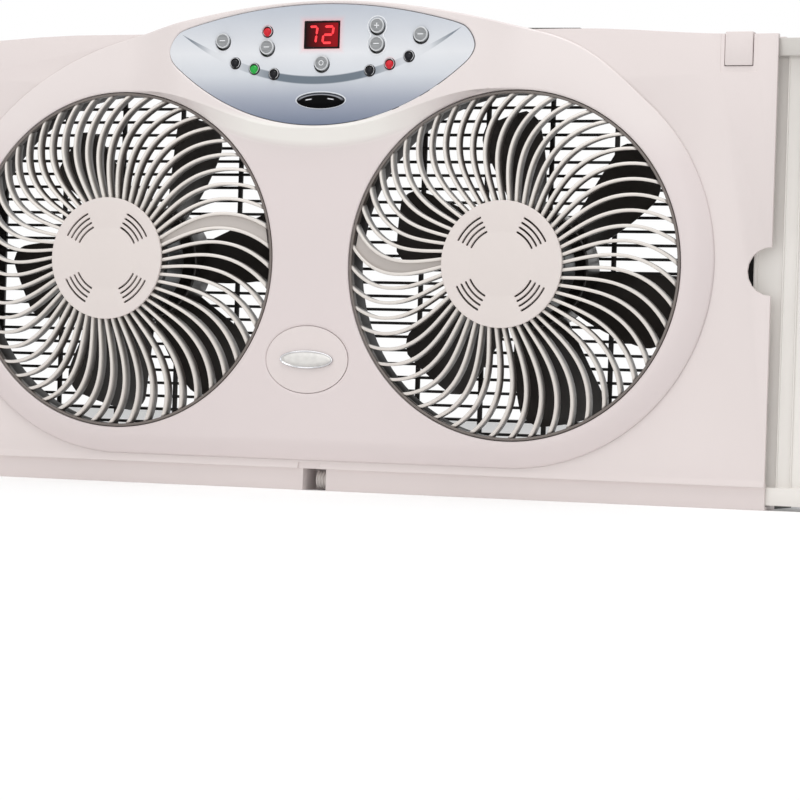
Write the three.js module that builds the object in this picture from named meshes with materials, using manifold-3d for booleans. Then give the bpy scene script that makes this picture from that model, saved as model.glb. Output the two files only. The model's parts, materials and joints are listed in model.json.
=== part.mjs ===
// Twin window fan: two grilled impellers side by side in a wide casing, with a control pod on top
// and a sliding extender panel at each end. Millimetres, +Z up, the room side faces -Y.
// The pieces are drawn round the midpoint between the two fan axes, on the plane of the grille rims,
// and the root group lifts them so that the origin is the centre of the footprint.
import * as THREE from 'three';
import { mergeVertices } from 'three/addons/utils/BufferGeometryUtils.js';
import Module from 'manifold-3d';

const wasm = await Module();
wasm.setup();

// ---- Driving dimensions -------------------------------------------------------------------------
const CLEAR = 0.3;                 // gap between pieces that touch
const WALL = 2.5;                  // casing wall

const AXIS_X = 142;                // fan axis, left or right of the middle
const AXIS_Z = 152;                // fan axis above the sill
const OPENING_R = 114.5;           // opening in the bezel
const SURROUND_R = OPENING_R + 21; // outside of the bezel round an opening
const SURROUND_X = AXIS_X - 0.5;   // centre of that arc
const SURROUND_LIFT = 3.5;
const PLATEAU_R = OPENING_R + 3.5; // flat part of the bezel

const HALF_WIDTH = 314;            // casing, without the extenders
const CREASE_Z = -137.6;           // where the face meets the skirt
const TOP_Z = 154.4;               // top edge of the face, beside the pod
const TOP_FALL = 4.9;              // how far it falls in a soft step towards the ends

const FACE_Y = 6;                  // front face of the casing
const SKIRT_Y = 7.5;               // front face of the skirt
const FRONT_HOUSING_BACK_Y = 34;   // where the front and rear housings part
const REAR_Y = 86;                 // back of the rear housing
const REAR_WALL_FRONT_Y = 27;      // front edge of its side walls
const FLANGE_TOP_Z = 165.4;        // sash flange on its back
const FLANGE_HALF = 158;
const GRIP_R = 15.5;               // finger notch in each end of the face

const POD_X = 4.5;                 // middle of the control pod
const POD_TOP_Z = 173.8;           // top of its crown
const CROWN_X = POD_X + 5.5;       // the crown's highest point
const CROWN_HALF = 140;            // from there to its ends
const CROWN_FALL = 23.2;
const POD_FRONT_Y = -6.5;
const POD_WALL = 2;                // wall behind the fascia
const FASCIA_T = 2;                // control fascia sheet
const FASCIA_INSET = 0.4;          // how far it lies below the pod's rim
const BOARD_Y = 8.8;               // front of the control board

const BUTTON_R = 5.1;
const BUTTON_FLANGE = 0.7;         // how far its flange reaches past its rim
const BUTTON_TRAVEL = 1;
const BUTTON_SIDES = 10;
const STEM_R = 1.6;                // the stem that meets the switch
const LED_R = 2.5;
const LED_SIDES = 8;

const GRILLE_RIM_R = OPENING_R - 0.5;
const GRILLE_RIM_INNER_R = GRILLE_RIM_R - 3;
const GRILLE_RIM_FRONT_Y = -0.5;
const GRILLE_HUB_R = 38.8;
const GRILLE_HUB_WALL = 2.8;
const DOME = 16.8;                 // how far the ribs stand out at the hub
const RIBS = 52;                   // curved ribs in a front grille
const RIB_W = 2.2;
const RIB_DEPTH = 9;               // at the hub; ribs are wedges, sharp at the back
const RIB_RIM_DEPTH = 5;
const RIB_SWEEP = 39.5;            // degrees: a rib's sideways run from rim to hub,
const RIB_HOOK = 31;               // and how much of it the curve takes back
const HUB_CAP_R = 41.2;
const HUB_CAP_T = 2;
const HUB_SLOT_RADII = [33.3, 29.9, 26.5, 23.1];
const HUB_SLOT_W = 1.3;

const SHROUD_R = OPENING_R - 1.3;  // inside of the air ring
const SHROUD_WALL = 2.5;
const SHROUD_FRONT_Y = 6;
const SHROUD_BACK_Y = 24;
const SHROUD_FLANGE = 7;           // reach of the flange from the ring's inside
const SHROUD_SIDES = 40;

const BLADES = 6;
const BLADE_TIP_R = OPENING_R - 9.5;
const BLADE_FRONT_Y = 38;
const BLADE_BACK_Y = 68;
const BLADE_CAMBER = 2.4;
const IMPELLER_HUB_R = 40;

const MOTOR_R = 34;
const STATOR_R = 36;
const ROTOR_R = 18.8;
const AIR_GAP = 0.8;               // between rotor and stator
const SHAFT_R = 3;
const BEARING_R = SHAFT_R + 5;
const BEARING_L = 6;
const MOTOR_FRONT_Y = -5.7;
const MOTOR_BACK_Y = 34;
const STATOR_FRONT_Y = 4.3;
const STATOR_BACK_Y = 22;
const MOTOR_SIDES = 16;

const SLAT_PITCH = 9.27;           // rear grille
const SLAT_W = 2.1;
const SLAT_ROWS = 28;
const BAR_W = 3.4;
const REAR_GRILLE_T = 2.5;
const REAR_GRILLE_INSET = 10;      // from the ends of the casing
const REAR_FRAME = 27;             // its frame, beside the slats
const SCREW_R = 1.7;
const SCREW_HEAD_R = 4;
const SCREW_INSET = 18;            // from the ends of the casing

const PANEL_W = 55.5;              // extender panel
const PANEL_OVERLAP = 13.5;        // how much of it stays inside when drawn out
const PANEL_FACE_Y = 18;
const PANEL_T = 2.5;
const PANEL_RIB_START = 18.4;      // first rib, from the panel's inner edge
const PANEL_RIB_PITCH = 9.2;
const PANEL_RIB_W = 1.1;
const PANEL_RIB_H = 1.4;
const RAIL_H = 11.3;
const RAIL_TOP_Z = 147.2;
const RAIL_REACH = 102;            // how far the rails run on into the casing
const RAIL_FRONT_Y = 10.5;
const RAIL_BACK_Y = 24;

const TAB_W = 18;                  // lock tab
const TAB_H = 21.4;
const TAB_INSET = 25.4;            // its middle, from the end of the casing
const TAB_TOP_Z = 150.9;
const TAB_GAP = 0.5;

// ---- Plain colours ------------------------------------------------------------------------------
const finish = (color, roughness, metalness = 0) =>
  () => new THREE.MeshStandardMaterial({ color, roughness, metalness });
const warmWhite = finish(0xded5d3, 0.45);
const podWhite = finish(0xe6e2dd, 0.42);
const ribWhite = finish(0xc9c3bf, 0.42);
const umber = finish(0x504844, 0.55);
const black = finish(0x262322, 0.5);
const bladeBlack = finish(0x2d2826, 0.35);
const silverBlue = finish(0xb8c0cd, 0.35, 0.2);
const gloss = finish(0x0b0b0c, 0.08);
const grey = finish(0x9a9c9e, 0.35);
const steel = finish(0xa9acae, 0.35, 0.9);
const chrome = finish(0xd8d9da, 0.12, 1);
const bronze = finish(0x9c7a4a, 0.45, 0.8);
const lacquer = finish(0x2f5f43, 0.5);
const ledColour = { dark: finish(0x14161c, 0.15), red: finish(0xc0141a, 0.2), green: finish(0x1f9d3a, 0.2) };

// ---- Geometry tools -----------------------------------------------------------------------------
// One closed, welded body with its faces out.
function closed(geometry) {
  const bare = geometry.clone();
  for (const name of ['normal', 'uv', 'color']) {
    if (bare.hasAttribute(name)) bare.deleteAttribute(name);
  }
  const welded = mergeVertices(bare, 1e-4);
  const p = welded.attributes.position;
  const corner = [new THREE.Vector3(), new THREE.Vector3(), new THREE.Vector3()];
  const faces = [];
  let volume = 0;
  for (let i = 0; i < welded.index.count; i += 3) {
    const face = [0, 1, 2].map((k) => welded.index.getX(i + k));
    if (new Set(face).size < 3) continue;
    face.forEach((v, k) => corner[k].fromBufferAttribute(p, v));
    volume += corner[0].dot(corner[1].clone().cross(corner[2]));
    faces.push(face);
  }
  welded.setIndex(faces.flatMap((face) => (volume < 0 ? [face[0], face[2], face[1]] : face)));
  welded.computeVertexNormals();
  return welded;
}

function toSolid(geometry) {
  const mesh = closed(geometry);
  return new wasm.Manifold(new wasm.Mesh({
    numProp: 3,
    vertProperties: Float32Array.from(mesh.attributes.position.array),
    triVerts: Uint32Array.from(mesh.index.array),
  }));
}

function toGeometry(solid) {
  const mesh = solid.getMesh();
  const geometry = new THREE.BufferGeometry();
  geometry.setAttribute('position', new THREE.BufferAttribute(Float32Array.from(mesh.vertProperties), 3));
  geometry.setIndex(Array.from(mesh.triVerts));
  return closed(geometry);
}

const join = (...parts) => toGeometry(parts.map(toSolid).reduce((a, b) => a.add(b)));
const cut = (body, ...tools) => toGeometry(tools.map(toSolid).reduce((a, b) => a.subtract(b), toSolid(body)));
const mirrored = (geometry) => closed(geometry.clone().scale(-1, 1, 1));

// A shape drawn in X and Z, given thickness from yFront to yBack.
function slab(shape, yFront, yBack, curveSegments = 12) {
  const options = { depth: yBack - yFront, bevelEnabled: false, curveSegments };
  return new THREE.ExtrudeGeometry(shape, options).rotateX(Math.PI / 2).translate(0, yBack, 0);
}

function box(x0, x1, y0, y1, z0, z1) {
  return new THREE.BoxGeometry(x1 - x0, y1 - y0, z1 - z0)
    .translate((x0 + x1) / 2, (y0 + y1) / 2, (z0 + z1) / 2);
}

// A profile of [radius, y] points turned round an axis that runs front to back.
function turned(profile, segments, x = 0, z = 0) {
  const points = profile.map(([r, y]) => new THREE.Vector2(r, y));
  return closed(new THREE.LatheGeometry(points, segments).translate(x, 0, z));
}

// A tube-like ring: a closed rectangular section between two radii.
function ring(rIn, rOut, yFront, yBack, segments) {
  return turned([[rIn, yFront], [rOut, yFront], [rOut, yBack], [rIn, yBack], [rIn, yFront]], segments);
}

const disc = (r, yFront, yBack, segments, x = 0, z = 0) =>
  turned([[0, yFront], [r, yFront], [r, yBack], [0, yBack]], segments, x, z);

function ellipse(rx, rz, x = 0, z = 0) {
  const shape = new THREE.Shape();
  shape.absellipse(x, z, rx, rz, 0, 2 * Math.PI, false, 0);
  return shape;
}

const polygon = (points) => new THREE.Shape(points.map(([x, z]) => new THREE.Vector2(x, z)));

// Straight steps from a to b, both ends included.
const steps = (a, b, count) => Array.from({ length: count + 1 }, (_, i) => a + ((b - a) * i) / count);

// Skins rings of three or more points each into a closed body; each end is closed by strips.
function loft(stations) {
  const n = stations[0].length;
  const last = (stations.length - 1) * n;
  const index = [];
  for (let s = 0; s + 1 < stations.length; s++) {
    for (let i = 0; i < n; i++) {
      const a = s * n + i;
      const b = s * n + ((i + 1) % n);
      index.push(a, b, b + n, a, b + n, a + n);
    }
  }
  for (let i = 0; i < n / 2 - 1; i++) {
    const [a, b, c, d] = [i, i + 1, n - 2 - i, n - 1 - i];
    index.push(a, c, b, a, d, c);
    index.push(last + a, last + b, last + c, last + a, last + c, last + d);
  }
  const geometry = new THREE.BufferGeometry();
  geometry.setAttribute('position', new THREE.Float32BufferAttribute(stations.flat(2), 3));
  geometry.setIndex(index);
  return closed(geometry);
}

// Skins outlines of [x, z] points, each at its own depth, into a plate with flat ends.
function loftPlate(outlines) {
  const n = outlines[0].points.length;
  const flat = outlines.flatMap(({ points, y }) => points.flatMap(([x, z]) => [x, y, z]));
  const index = [];
  for (let s = 0; s + 1 < outlines.length; s++) {
    for (let i = 0; i < n; i++) {
      const a = s * n + i;
      const b = s * n + ((i + 1) % n);
      index.push(a, a + n, b + n, a, b + n, b);
    }
  }
  const cap = (outline) =>
    THREE.ShapeUtils.triangulateShape(outline.points.map(([x, z]) => new THREE.Vector2(x, z)), []);
  const last = (outlines.length - 1) * n;
  cap(outlines[0]).forEach(([a, b, c]) => index.push(a, b, c));
  cap(outlines.at(-1)).forEach(([a, b, c]) => index.push(last + a, last + c, last + b));
  const geometry = new THREE.BufferGeometry();
  geometry.setAttribute('position', new THREE.Float32BufferAttribute(flat, 3));
  geometry.setIndex(index);
  return closed(geometry);
}

// ---- Assembly -----------------------------------------------------------------------------------
const fan = new THREE.Group();
const hubCapFrontY = -DOME - HUB_CAP_T - 0.5;
const rearGrilleY = REAR_Y + CLEAR;
fan.position.set(0, -(hubCapFrontY + rearGrilleY + REAR_GRILLE_T) / 2, AXIS_Z);

function add(name, geometry, material, x = 0, z = 0) {
  const mesh = new THREE.Mesh(closed(geometry), material());
  mesh.name = name;
  mesh.position.set(x, 0, z);
  fan.add(mesh);
}

const SIDES = [['left', -1], ['right', 1]];
const pick = (side, rightGeometry) => (side < 0 ? mirrored(rightGeometry) : rightGeometry);
const rad = THREE.MathUtils.degToRad;

// ---- Casing outlines ----------------------------------------------------------------------------
const softStep = (x) => THREE.MathUtils.smoothstep(Math.abs(x), HALF_WIDTH - 134, HALF_WIDTH - 24);
const faceTopZ = (x) => TOP_Z - TOP_FALL * softStep(x);
const crownShare = (x) => ((x - CROWN_X) / CROWN_HALF) ** 2;
const crownZ = (x) => POD_TOP_Z - CROWN_FALL * (crownShare(x) - 0.155 * crownShare(x) ** 2);
const topEdgeZ = (x) => Math.max(faceTopZ(x), Math.abs(x - CROWN_X) < CROWN_HALF ? crownZ(x) : 0);

const topXs = [
  ...steps(HALF_WIDTH, CROWN_X + CROWN_HALF, 7),
  ...steps(CROWN_X + CROWN_HALF, CROWN_X - CROWN_HALF, 14).slice(1, -1),
  ...steps(CROWN_X - CROWN_HALF, -HALF_WIDTH, 7),
];

// Outline of the casing, with each wall moved in by its own inset.
function casingShape(top, side, bottom) {
  const half = HALF_WIDTH - side;
  const points = topXs.map((x) => [(x * half) / HALF_WIDTH, topEdgeZ(x) - top]);
  return polygon([[-half, -AXIS_Z + bottom], [half, -AXIS_Z + bottom], ...points]);
}

// Right half of the control fascia, from the pod's middle: its top, its end and its bottom edge.
const lensTop = (x) => POD_TOP_Z - 2.5 - x ** 2 / 652;
const lensBottom = (x) => 91.2 + x ** 2 / 310 + 4.5 * (x / 100) ** 4;
const lensHalf = [
  ...steps(0, 96, 6).map((x) => [x, lensTop(x)]),
  ...[[103, 154], [107.5, 148.5], [109.8, 142.5], [108.5, 137.5], [105.5, 133]],
  ...steps(100, 0, 6).map((x) => [x, lensBottom(x)]),
];
const LENS_LEAN = 0.01;            // it leans a little, with the right end up

// The lens-shaped outline of the control fascia, grown by a gap.
function lensShape(gap) {
  const outline = [...lensHalf, ...lensHalf.slice(1, -1).map(([x, z]) => [-x, z]).reverse()];
  return polygon(outline.map(([x, z], i) => {
    const [backX, backZ] = outline.at(i - 1);
    const [onX, onZ] = outline[(i + 1) % outline.length];
    const reach = gap / Math.hypot(onX - backX, onZ - backZ);
    return [POD_X + x - (onZ - backZ) * reach, z + LENS_LEAN * x + (onX - backX) * reach];
  }));
}

// Hollow behind the pod's front wall, which the casing's face shares.
function podHollow(yFront, yBack) {
  const topRun = steps(-90, 90, 6).map((x) => [POD_X + x, crownZ(POD_X + x) - 6]);
  const bottomRun = steps(90, -90, 8).map((x) => [POD_X + x, 93 + x ** 2 / 290]);
  return slab(polygon([...topRun, ...bottomRun]), yFront, yBack);
}

// ---- Front housing: the warm white shell that faces the room -------------------------------------
const TAB_X = HALF_WIDTH - TAB_INSET;
const RAIL_CHANNEL_X = HALF_WIDTH - 64;            // from here on the top wall is open over the rail
const cordSlot = { x0: -3.2, x1: 13.5, back: 30, z1: CREASE_Z };
const faceOpeningR = SHROUD_R + SHROUD_WALL + CLEAR;

// A box at the right end, or its mirror image at the left end.
const endBox = (s, x0, x1, ...rest) => box(...(s < 0 ? [-x1, -x0] : [x0, x1]), ...rest);

function frontHousing() {
  const beyond = HALF_WIDTH + 50;
  const { x0, x1, back, z1 } = cordSlot;
  const shell = slab(casingShape(0, 0, 0), FACE_Y, FRONT_HOUSING_BACK_Y);
  const inside = slab(casingShape(WALL, -WALL, WALL), FACE_Y + WALL, FRONT_HOUSING_BACK_Y + 1);
  const skirtRelief = box(-beyond, beyond, 0, SKIRT_Y, -200, CREASE_Z);
  const ledgeSection = polygon([
    [FACE_Y + 1, CREASE_Z], [FACE_Y - 1.2, CREASE_Z], [FACE_Y - 1.2, CREASE_Z + 1.2],
    [FACE_Y - 0.3, CREASE_Z + 3.4], [FACE_Y, CREASE_Z + 5.4], [FACE_Y + 1, CREASE_Z + 5.4],
  ]);
  const ledge = new THREE.ExtrudeGeometry(ledgeSection, { depth: 2 * HALF_WIDTH, bevelEnabled: false })
    .rotateX(Math.PI / 2).rotateZ(Math.PI / 2).translate(-HALF_WIDTH, 0, 0);
  const ledgeNotch = box(x0 - 3, x1 - 3.7, 0, FACE_Y + 0.8, CREASE_Z, CREASE_Z + 4);
  const skirtBack = box(-HALF_WIDTH, HALF_WIDTH, SKIRT_Y, SKIRT_Y + WALL, -AXIS_Z, CREASE_Z + WALL);
  const cordBox = box(x0 - 2, x1 + 2, SKIRT_Y, back + 2, -AXIS_Z, z1 + 2);
  const cordWell = box(x0, x1, 0, back, -200, z1);
  const openings = SIDES.map(([, s]) => disc(faceOpeningR, 0, 20, SHROUD_SIDES, s * AXIS_X));
  const grips = SIDES.map(([, s]) => disc(GRIP_R, 0, FACE_Y + WALL + 0.1, 20, s * HALF_WIDTH, -1));
  const tabLeft = TAB_X - TAB_W / 2;
  const tabRight = TAB_X + TAB_W / 2;
  const tabBottom = TAB_TOP_Z - TAB_H;
  const endCuts = SIDES.flatMap(([, s]) => [
    endBox(s, tabLeft - TAB_GAP, tabRight + TAB_GAP, 0, FACE_Y + 8, tabBottom - TAB_GAP, 200),
    endBox(s, tabLeft - 3, tabRight + 3, 0, FACE_Y + 0.4, tabBottom - 4.2, 200),
    endBox(s, RAIL_CHANNEL_X, beyond, RAIL_FRONT_Y - CLEAR, RAIL_BACK_Y + CLEAR, RAIL_TOP_Z - 8, 200),
  ]);
  const trimmed = cut(shell, inside, skirtRelief);
  const hollow = cut(join(trimmed, ledge, skirtBack, cordBox), cordWell, ledgeNotch);
  return cut(hollow, ...openings, ...grips, ...endCuts, podHollow(0, 20));
}
add('front_housing', frontHousing(), warmWhite);

// ---- Front bezel: the raised surround of both openings, with the control pod on top --------------
// One half of the surround's outline, from its bottom corner up and over to the crown.
function surroundHalf(side) {
  const arcPoint = (degrees) => [
    side * (SURROUND_X + SURROUND_R * Math.cos(rad(degrees))),
    SURROUND_LIFT + SURROUND_R * Math.sin(rad(degrees)),
  ];
  const arc = steps(-90, 48, 12).map(arcPoint);
  const crownEnd = CROWN_X + side * CROWN_HALF;
  const sweep = new THREE.CubicBezierCurve(
    new THREE.Vector2(...arc.at(-1)),
    new THREE.Vector2(side * (SURROUND_X + 60.7), SURROUND_LIFT + 127.7),
    new THREE.Vector2(crownEnd + side * 38, 146),
    new THREE.Vector2(crownEnd, crownZ(crownEnd)),
  ).getPoints(4).slice(1);
  const crown = steps(crownEnd, CROWN_X, 7).slice(1).map((x) => [x, crownZ(x)]);
  return [...arc, ...sweep.map(({ x, y }) => [x, y]), ...crown];
}

const surroundOutline = () => [...surroundHalf(1).slice(0, -1), ...surroundHalf(-1).reverse()];

// The flat middle of the surround: every outline point drawn in to the same distance from the axes.
function plateauOutline() {
  return surroundOutline().map(([x, z]) => {
    const nearest = THREE.MathUtils.clamp(x, -AXIS_X, AXIS_X);
    const reach = Math.hypot(x - nearest, z);
    return [nearest + ((x - nearest) * PLATEAU_R) / reach, (z * PLATEAU_R) / reach];
  });
}

// The pod's outline at one depth. Its lower edge is drawn through half of its points, which are
// mirrored, and its upper edge follows the crown.
function podOutline(lowerHalf, crownDrop) {
  const lower = [...lowerHalf.slice(1).map(([x, z]) => [-x, z]).reverse(), ...lowerHalf];
  const upper = lower.map(([x]) => [x, crownZ(x) - crownDrop]).reverse();
  return [...lower, ...upper];
}
// The ridge at the top of the pod's lower wall, and its foot, which dips below an opening's edge.
const podRidgeZ = (x) => 88.8 + 26.3 * THREE.MathUtils.smootherstep(x, 0, 140);
const openingTopZ = (x) => Math.sqrt(Math.max(0, OPENING_R ** 2 - (AXIS_X - x) ** 2));
const podFootZ = (x) => Math.min(Math.max(76.8 + x ** 2 / 370, openingTopZ(x) - 0.8), podRidgeZ(x) - 1.5);
const podRidge = steps(0, 117, 8).map((x) => [x, podRidgeZ(x)]);
const podFoot = steps(0, 129, 8).map((x) => [x, podFootZ(x)]);

// Controls: across from the pod's middle, and up from the fan axes.
const KEY_PAIR_Z = 150.6;                          // middle of the two temperature keys
const KEY_PAIR_HALF = BUTTON_R + BUTTON_FLANGE + 0.2;
const KEYS = [
  ['power_button', -70.2, 147.8],
  ['mode_button', -37.7, 143.2],
  ['light_button', 2.3, 132.2],
  ['temperature_up_button', 41.3, KEY_PAIR_Z + KEY_PAIR_HALF],
  ['temperature_down_button', 41.3, KEY_PAIR_Z - KEY_PAIR_HALF],
  ['airflow_button', 72.3, 150.5],
].map(([name, x, z]) => [name, POD_X + x, z]);
const LEDS = [
  ['auto_indicator', -37.7, 153.6, 'red'],
  ['low_speed_indicator', -60.7, 132.7, 'dark'],
  ['medium_speed_indicator', -46.7, 128.8, 'green'],
  ['high_speed_indicator', -32.2, 125.2, 'dark'],
  ['air_in_indicator', 36.8, 127, 'dark'],
  ['air_out_indicator', 50.8, 131.2, 'red'],
  ['air_exchange_indicator', 64.3, 136.2, 'dark'],
].map(([name, x, z, state]) => [name, POD_X + x, z, state]);
const DISPLAY = { x: POD_X + 1.8, z: 151, w: 25.2, h: 18 };
const IR = { x: POD_X + 2.4, z: 107.6, rx: 18, rz: 5.7 };
const BADGE = { z: -64.8, rx: 29.5, rz: 22.4, depth: 2 };

// Through holes for everything that shows on the control fascia.
function controlHoles(yFront, yBack, irRx, irRz) {
  const { x, z, w, h } = DISPLAY;
  return [
    ...KEYS.map(([, keyX, keyZ]) => disc(BUTTON_R + CLEAR, yFront, yBack, BUTTON_SIDES, keyX, keyZ)),
    ...LEDS.map(([, ledX, ledZ]) => disc(LED_R + CLEAR, yFront, yBack, LED_SIDES, ledX, ledZ)),
    box(x - w / 2 - CLEAR, x + w / 2 + CLEAR, yFront, yBack, z - h / 2 - CLEAR, z + h / 2 + CLEAR),
    slab(ellipse(irRx, irRz, IR.x, IR.z), yFront, yBack, 10),
  ];
}

const fasciaFrontY = POD_FRONT_Y + FASCIA_INSET;
const fasciaBackY = fasciaFrontY + FASCIA_T;
const podFloorY = fasciaBackY + CLEAR;
const podHollowY = podFloorY + POD_WALL;
const bezelBackY = FACE_Y - CLEAR;

function frontBezel() {
  const outer = surroundOutline();
  const plate = loftPlate([
    { points: plateauOutline(), y: 0 },
    { points: outer, y: bezelBackY - 0.9 },
    { points: outer, y: bezelBackY },
  ]);
  const pod = loftPlate([
    { points: podOutline(podRidge, 0.4), y: POD_FRONT_Y },
    { points: podOutline(podFoot, 0), y: 0 },
    { points: podOutline(podFoot, 0), y: bezelBackY },
  ]);
  const openings = SIDES.map(([, s]) => disc(OPENING_R, -20, 20, 48, s * AXIS_X));
  const badgePocket = slab(ellipse(BADGE.rx + CLEAR, BADGE.rz + CLEAR, 0, BADGE.z), -1, BADGE.depth, 16);
  const fasciaPocket = slab(lensShape(0.4), POD_FRONT_Y - 1, podFloorY);
  const body = cut(join(plate, pod), ...openings, fasciaPocket, podHollow(podHollowY, 20), badgePocket);
  return cut(body, ...controlHoles(-9, podHollowY + 1, 9, 3.2));
}
add('front_bezel', frontBezel(), podWhite);

// ---- Badge: a bare oval plate let into the middle of the bezel ------------------------------------
add('badge_inset', slab(ellipse(BADGE.rx, BADGE.rz), 0, BADGE.depth - CLEAR, 16), warmWhite, 0, BADGE.z);
add('badge_plate', slab(ellipse(19.2, 6.3), -1.5, -CLEAR, 12), chrome, 0, BADGE.z);

// ---- Control fascia, display, indicators and buttons ----------------------------------------------
const fascia = cut(slab(lensShape(0), fasciaFrontY, fasciaBackY),
  ...controlHoles(-9, 9, IR.rx + CLEAR, IR.rz + CLEAR));
add('control_fascia', fascia, silverBlue);
add('display', box(-DISPLAY.w / 2, DISPLAY.w / 2, fasciaFrontY - 0.2, BOARD_Y - CLEAR, -DISPLAY.h / 2,
  DISPLAY.h / 2), gloss, DISPLAY.x, DISPLAY.z);

// Outline of the receiver's window, drawn in by a share of its size.
const irOutline = (share) => steps(0, 2 * Math.PI, 16).slice(1)
  .map((a) => [IR.rx * share * Math.cos(a), IR.rz * share * Math.sin(a)]);
const irDome = [[0.5, fasciaFrontY - 1], [0.86, fasciaFrontY - 0.3], [1, fasciaFrontY], [1, fasciaBackY]]
  .map(([share, y]) => ({ points: irOutline(share), y }));
add('ir_window', loftPlate(irDome), gloss, IR.x, IR.z);

const switchTopY = BOARD_Y - 2.5;
const flangeFrontY = podHollowY + CLEAR;
const buttonProfile = [
  [0, fasciaFrontY - 1.6],
  [BUTTON_R, fasciaFrontY - 1.6],
  [BUTTON_R, flangeFrontY],
  [BUTTON_R + BUTTON_FLANGE, flangeFrontY],
  [BUTTON_R + BUTTON_FLANGE, flangeFrontY + 1],
  [STEM_R, flangeFrontY + 1],
  [STEM_R, switchTopY - BUTTON_TRAVEL - CLEAR],
  [0, switchTopY - BUTTON_TRAVEL - CLEAR],
];
for (const [name, x, z] of KEYS) add(name, turned(buttonProfile, BUTTON_SIDES), grey, x, z);

const ledBody = [
  [0, fasciaFrontY - 1.7],
  [1.6, fasciaFrontY - 1.2],
  [LED_R, fasciaFrontY - 0.1],
  [LED_R, BOARD_Y - CLEAR],
  [0, BOARD_Y - CLEAR],
];
for (const [name, x, z, state] of LEDS) add(name, turned(ledBody, LED_SIDES), ledColour[state], x, z);

const board = box(POD_X - 86, POD_X + 86, BOARD_Y, BOARD_Y + 1.6, 119, 158);
const switches = KEYS.map(([, x, z]) => box(x - 2.5, x + 2.5, switchTopY, BOARD_Y + 0.5, z - 1.8, z + 1.8));
add('control_board', join(board, ...switches), lacquer);

// ---- Front grilles: curved ribs on a shallow dome, moulded with their rim and hub -----------------
const domeY = (r) => -DOME * (1 - ((r - GRILLE_HUB_R) / (GRILLE_RIM_INNER_R - GRILLE_HUB_R)) ** 2);
const inFromRim = (r) => (GRILLE_RIM_R - r) / (GRILLE_RIM_R - GRILLE_HUB_R);
const ribAngle = (r) => rad(RIB_SWEEP * inFromRim(r) - RIB_HOOK * inFromRim(r) ** 2);
// How far a rib leans from the radius at r, as an angle.
const ribSlope = (r) => rad(RIB_SWEEP - 2 * RIB_HOOK * inFromRim(r)) / (GRILLE_RIM_R - GRILLE_HUB_R);
const ribLean = (r) => Math.atan(r * ribSlope(r));

// A bar along the rib curve. Each corner of its section has a side, from -1 to 1, and a depth
// behind the dome; its sides stay halfWidth(r) from the curve.
function curvedBar(centreAngle, halfWidth, section) {
  const radii = steps(GRILLE_HUB_R - 1.5, GRILLE_RIM_INNER_R + 1, 3);
  return loft(radii.map((r) => section.map(([side, depth]) => {
    const a = centreAngle + ribAngle(r) + (side * halfWidth(r)) / (r * Math.cos(ribLean(r)));
    return [r * Math.cos(a), domeY(r) + depth(r), r * Math.sin(a)];
  })));
}

const ribPitch = (2 * Math.PI) / RIBS;
const hubFloorY = MOTOR_FRONT_Y - CLEAR;
const hubInnerR = GRILLE_HUB_R - GRILLE_HUB_WALL;

function frontGrille(phase) {
  const back = (r) => RIB_RIM_DEPTH + (RIB_DEPTH - RIB_RIM_DEPTH) * inFromRim(r);
  const wedge = [[-1, () => 0], [1, () => 0], [0, back]];
  const ribs = steps(0, RIBS - 1, RIBS - 1)
    .map((k) => curvedBar(phase + k * ribPitch, () => RIB_W / 2, wedge));
  const rim = ring(GRILLE_RIM_INNER_R, GRILLE_RIM_R, GRILLE_RIM_FRONT_Y, SHROUD_FRONT_Y - CLEAR, RIBS);
  const frontY = -DOME - 0.2;
  const hub = turned([
    [hubInnerR, frontY],
    [GRILLE_HUB_R, frontY],
    [GRILLE_HUB_R, hubFloorY],
    [10, hubFloorY],
    [10, hubFloorY - 2],
    [hubInnerR, hubFloorY - 2],
    [hubInnerR, frontY],
  ], RIBS / 2);
  // Each facet of the rim and hub is turned to meet its ribs squarely.
  rim.rotateY(-(phase + ribAngle(GRILLE_RIM_INNER_R) + ribPitch / 2));
  hub.rotateY(-(phase + ribAngle(GRILLE_HUB_R) + ribPitch / 2));
  return join(rim, hub, ...ribs);
}

// The cover over the motor lead fills one gap between two ribs, a little behind their front edges.
function leadCover(phase, gap) {
  const halfGap = (r) => (r * Math.cos(ribLean(r)) * ribPitch) / 2 - RIB_W / 2 - CLEAR;
  const section = [[-1, 3], [1, 3], [1, 4.8], [-1, 4.8]].map(([side, depth]) => [side, () => depth]);
  const strip = curvedBar(phase + (gap + 0.5) * ribPitch, halfGap, section);
  const reach = ring(GRILLE_HUB_R + 2, GRILLE_RIM_INNER_R - 0.8, -40, 40, RIBS);
  return toGeometry(toSolid(strip).intersect(toSolid(reach)));
}

const RIB_PHASE = { left: rad(4.2), right: rad(0.45) };
const COVER_GAP = { left: 0, right: 24 };          // which gap between ribs the lead runs in

// Four groups of four concentric slots let the motor breathe.
function hubCap() {
  const plate = disc(HUB_CAP_R, hubCapFrontY, hubCapFrontY + HUB_CAP_T, 32);
  const spigot = ring(hubInnerR - 1.6, hubInnerR - CLEAR, hubCapFrontY + 1, hubCapFrontY + 9, 26);
  const slot = (r, middle) => {
    const outer = steps(middle - 18, middle + 18, 2).map((a) => [r + HUB_SLOT_W / 2, rad(a)]);
    const inner = steps(middle + 18, middle - 18, 2).map((a) => [r - HUB_SLOT_W / 2, rad(a)]);
    const points = [...outer, ...inner].map(([radius, a]) => [radius * Math.cos(a), radius * Math.sin(a)]);
    return slab(polygon(points), hubCapFrontY - 1, hubCapFrontY + HUB_CAP_T + 0.5);
  };
  const slots = [45, 135, 225, 315].flatMap((middle) => HUB_SLOT_RADII.map((r) => slot(r, middle)));
  return cut(join(plate, spigot), ...slots);
}

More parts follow.
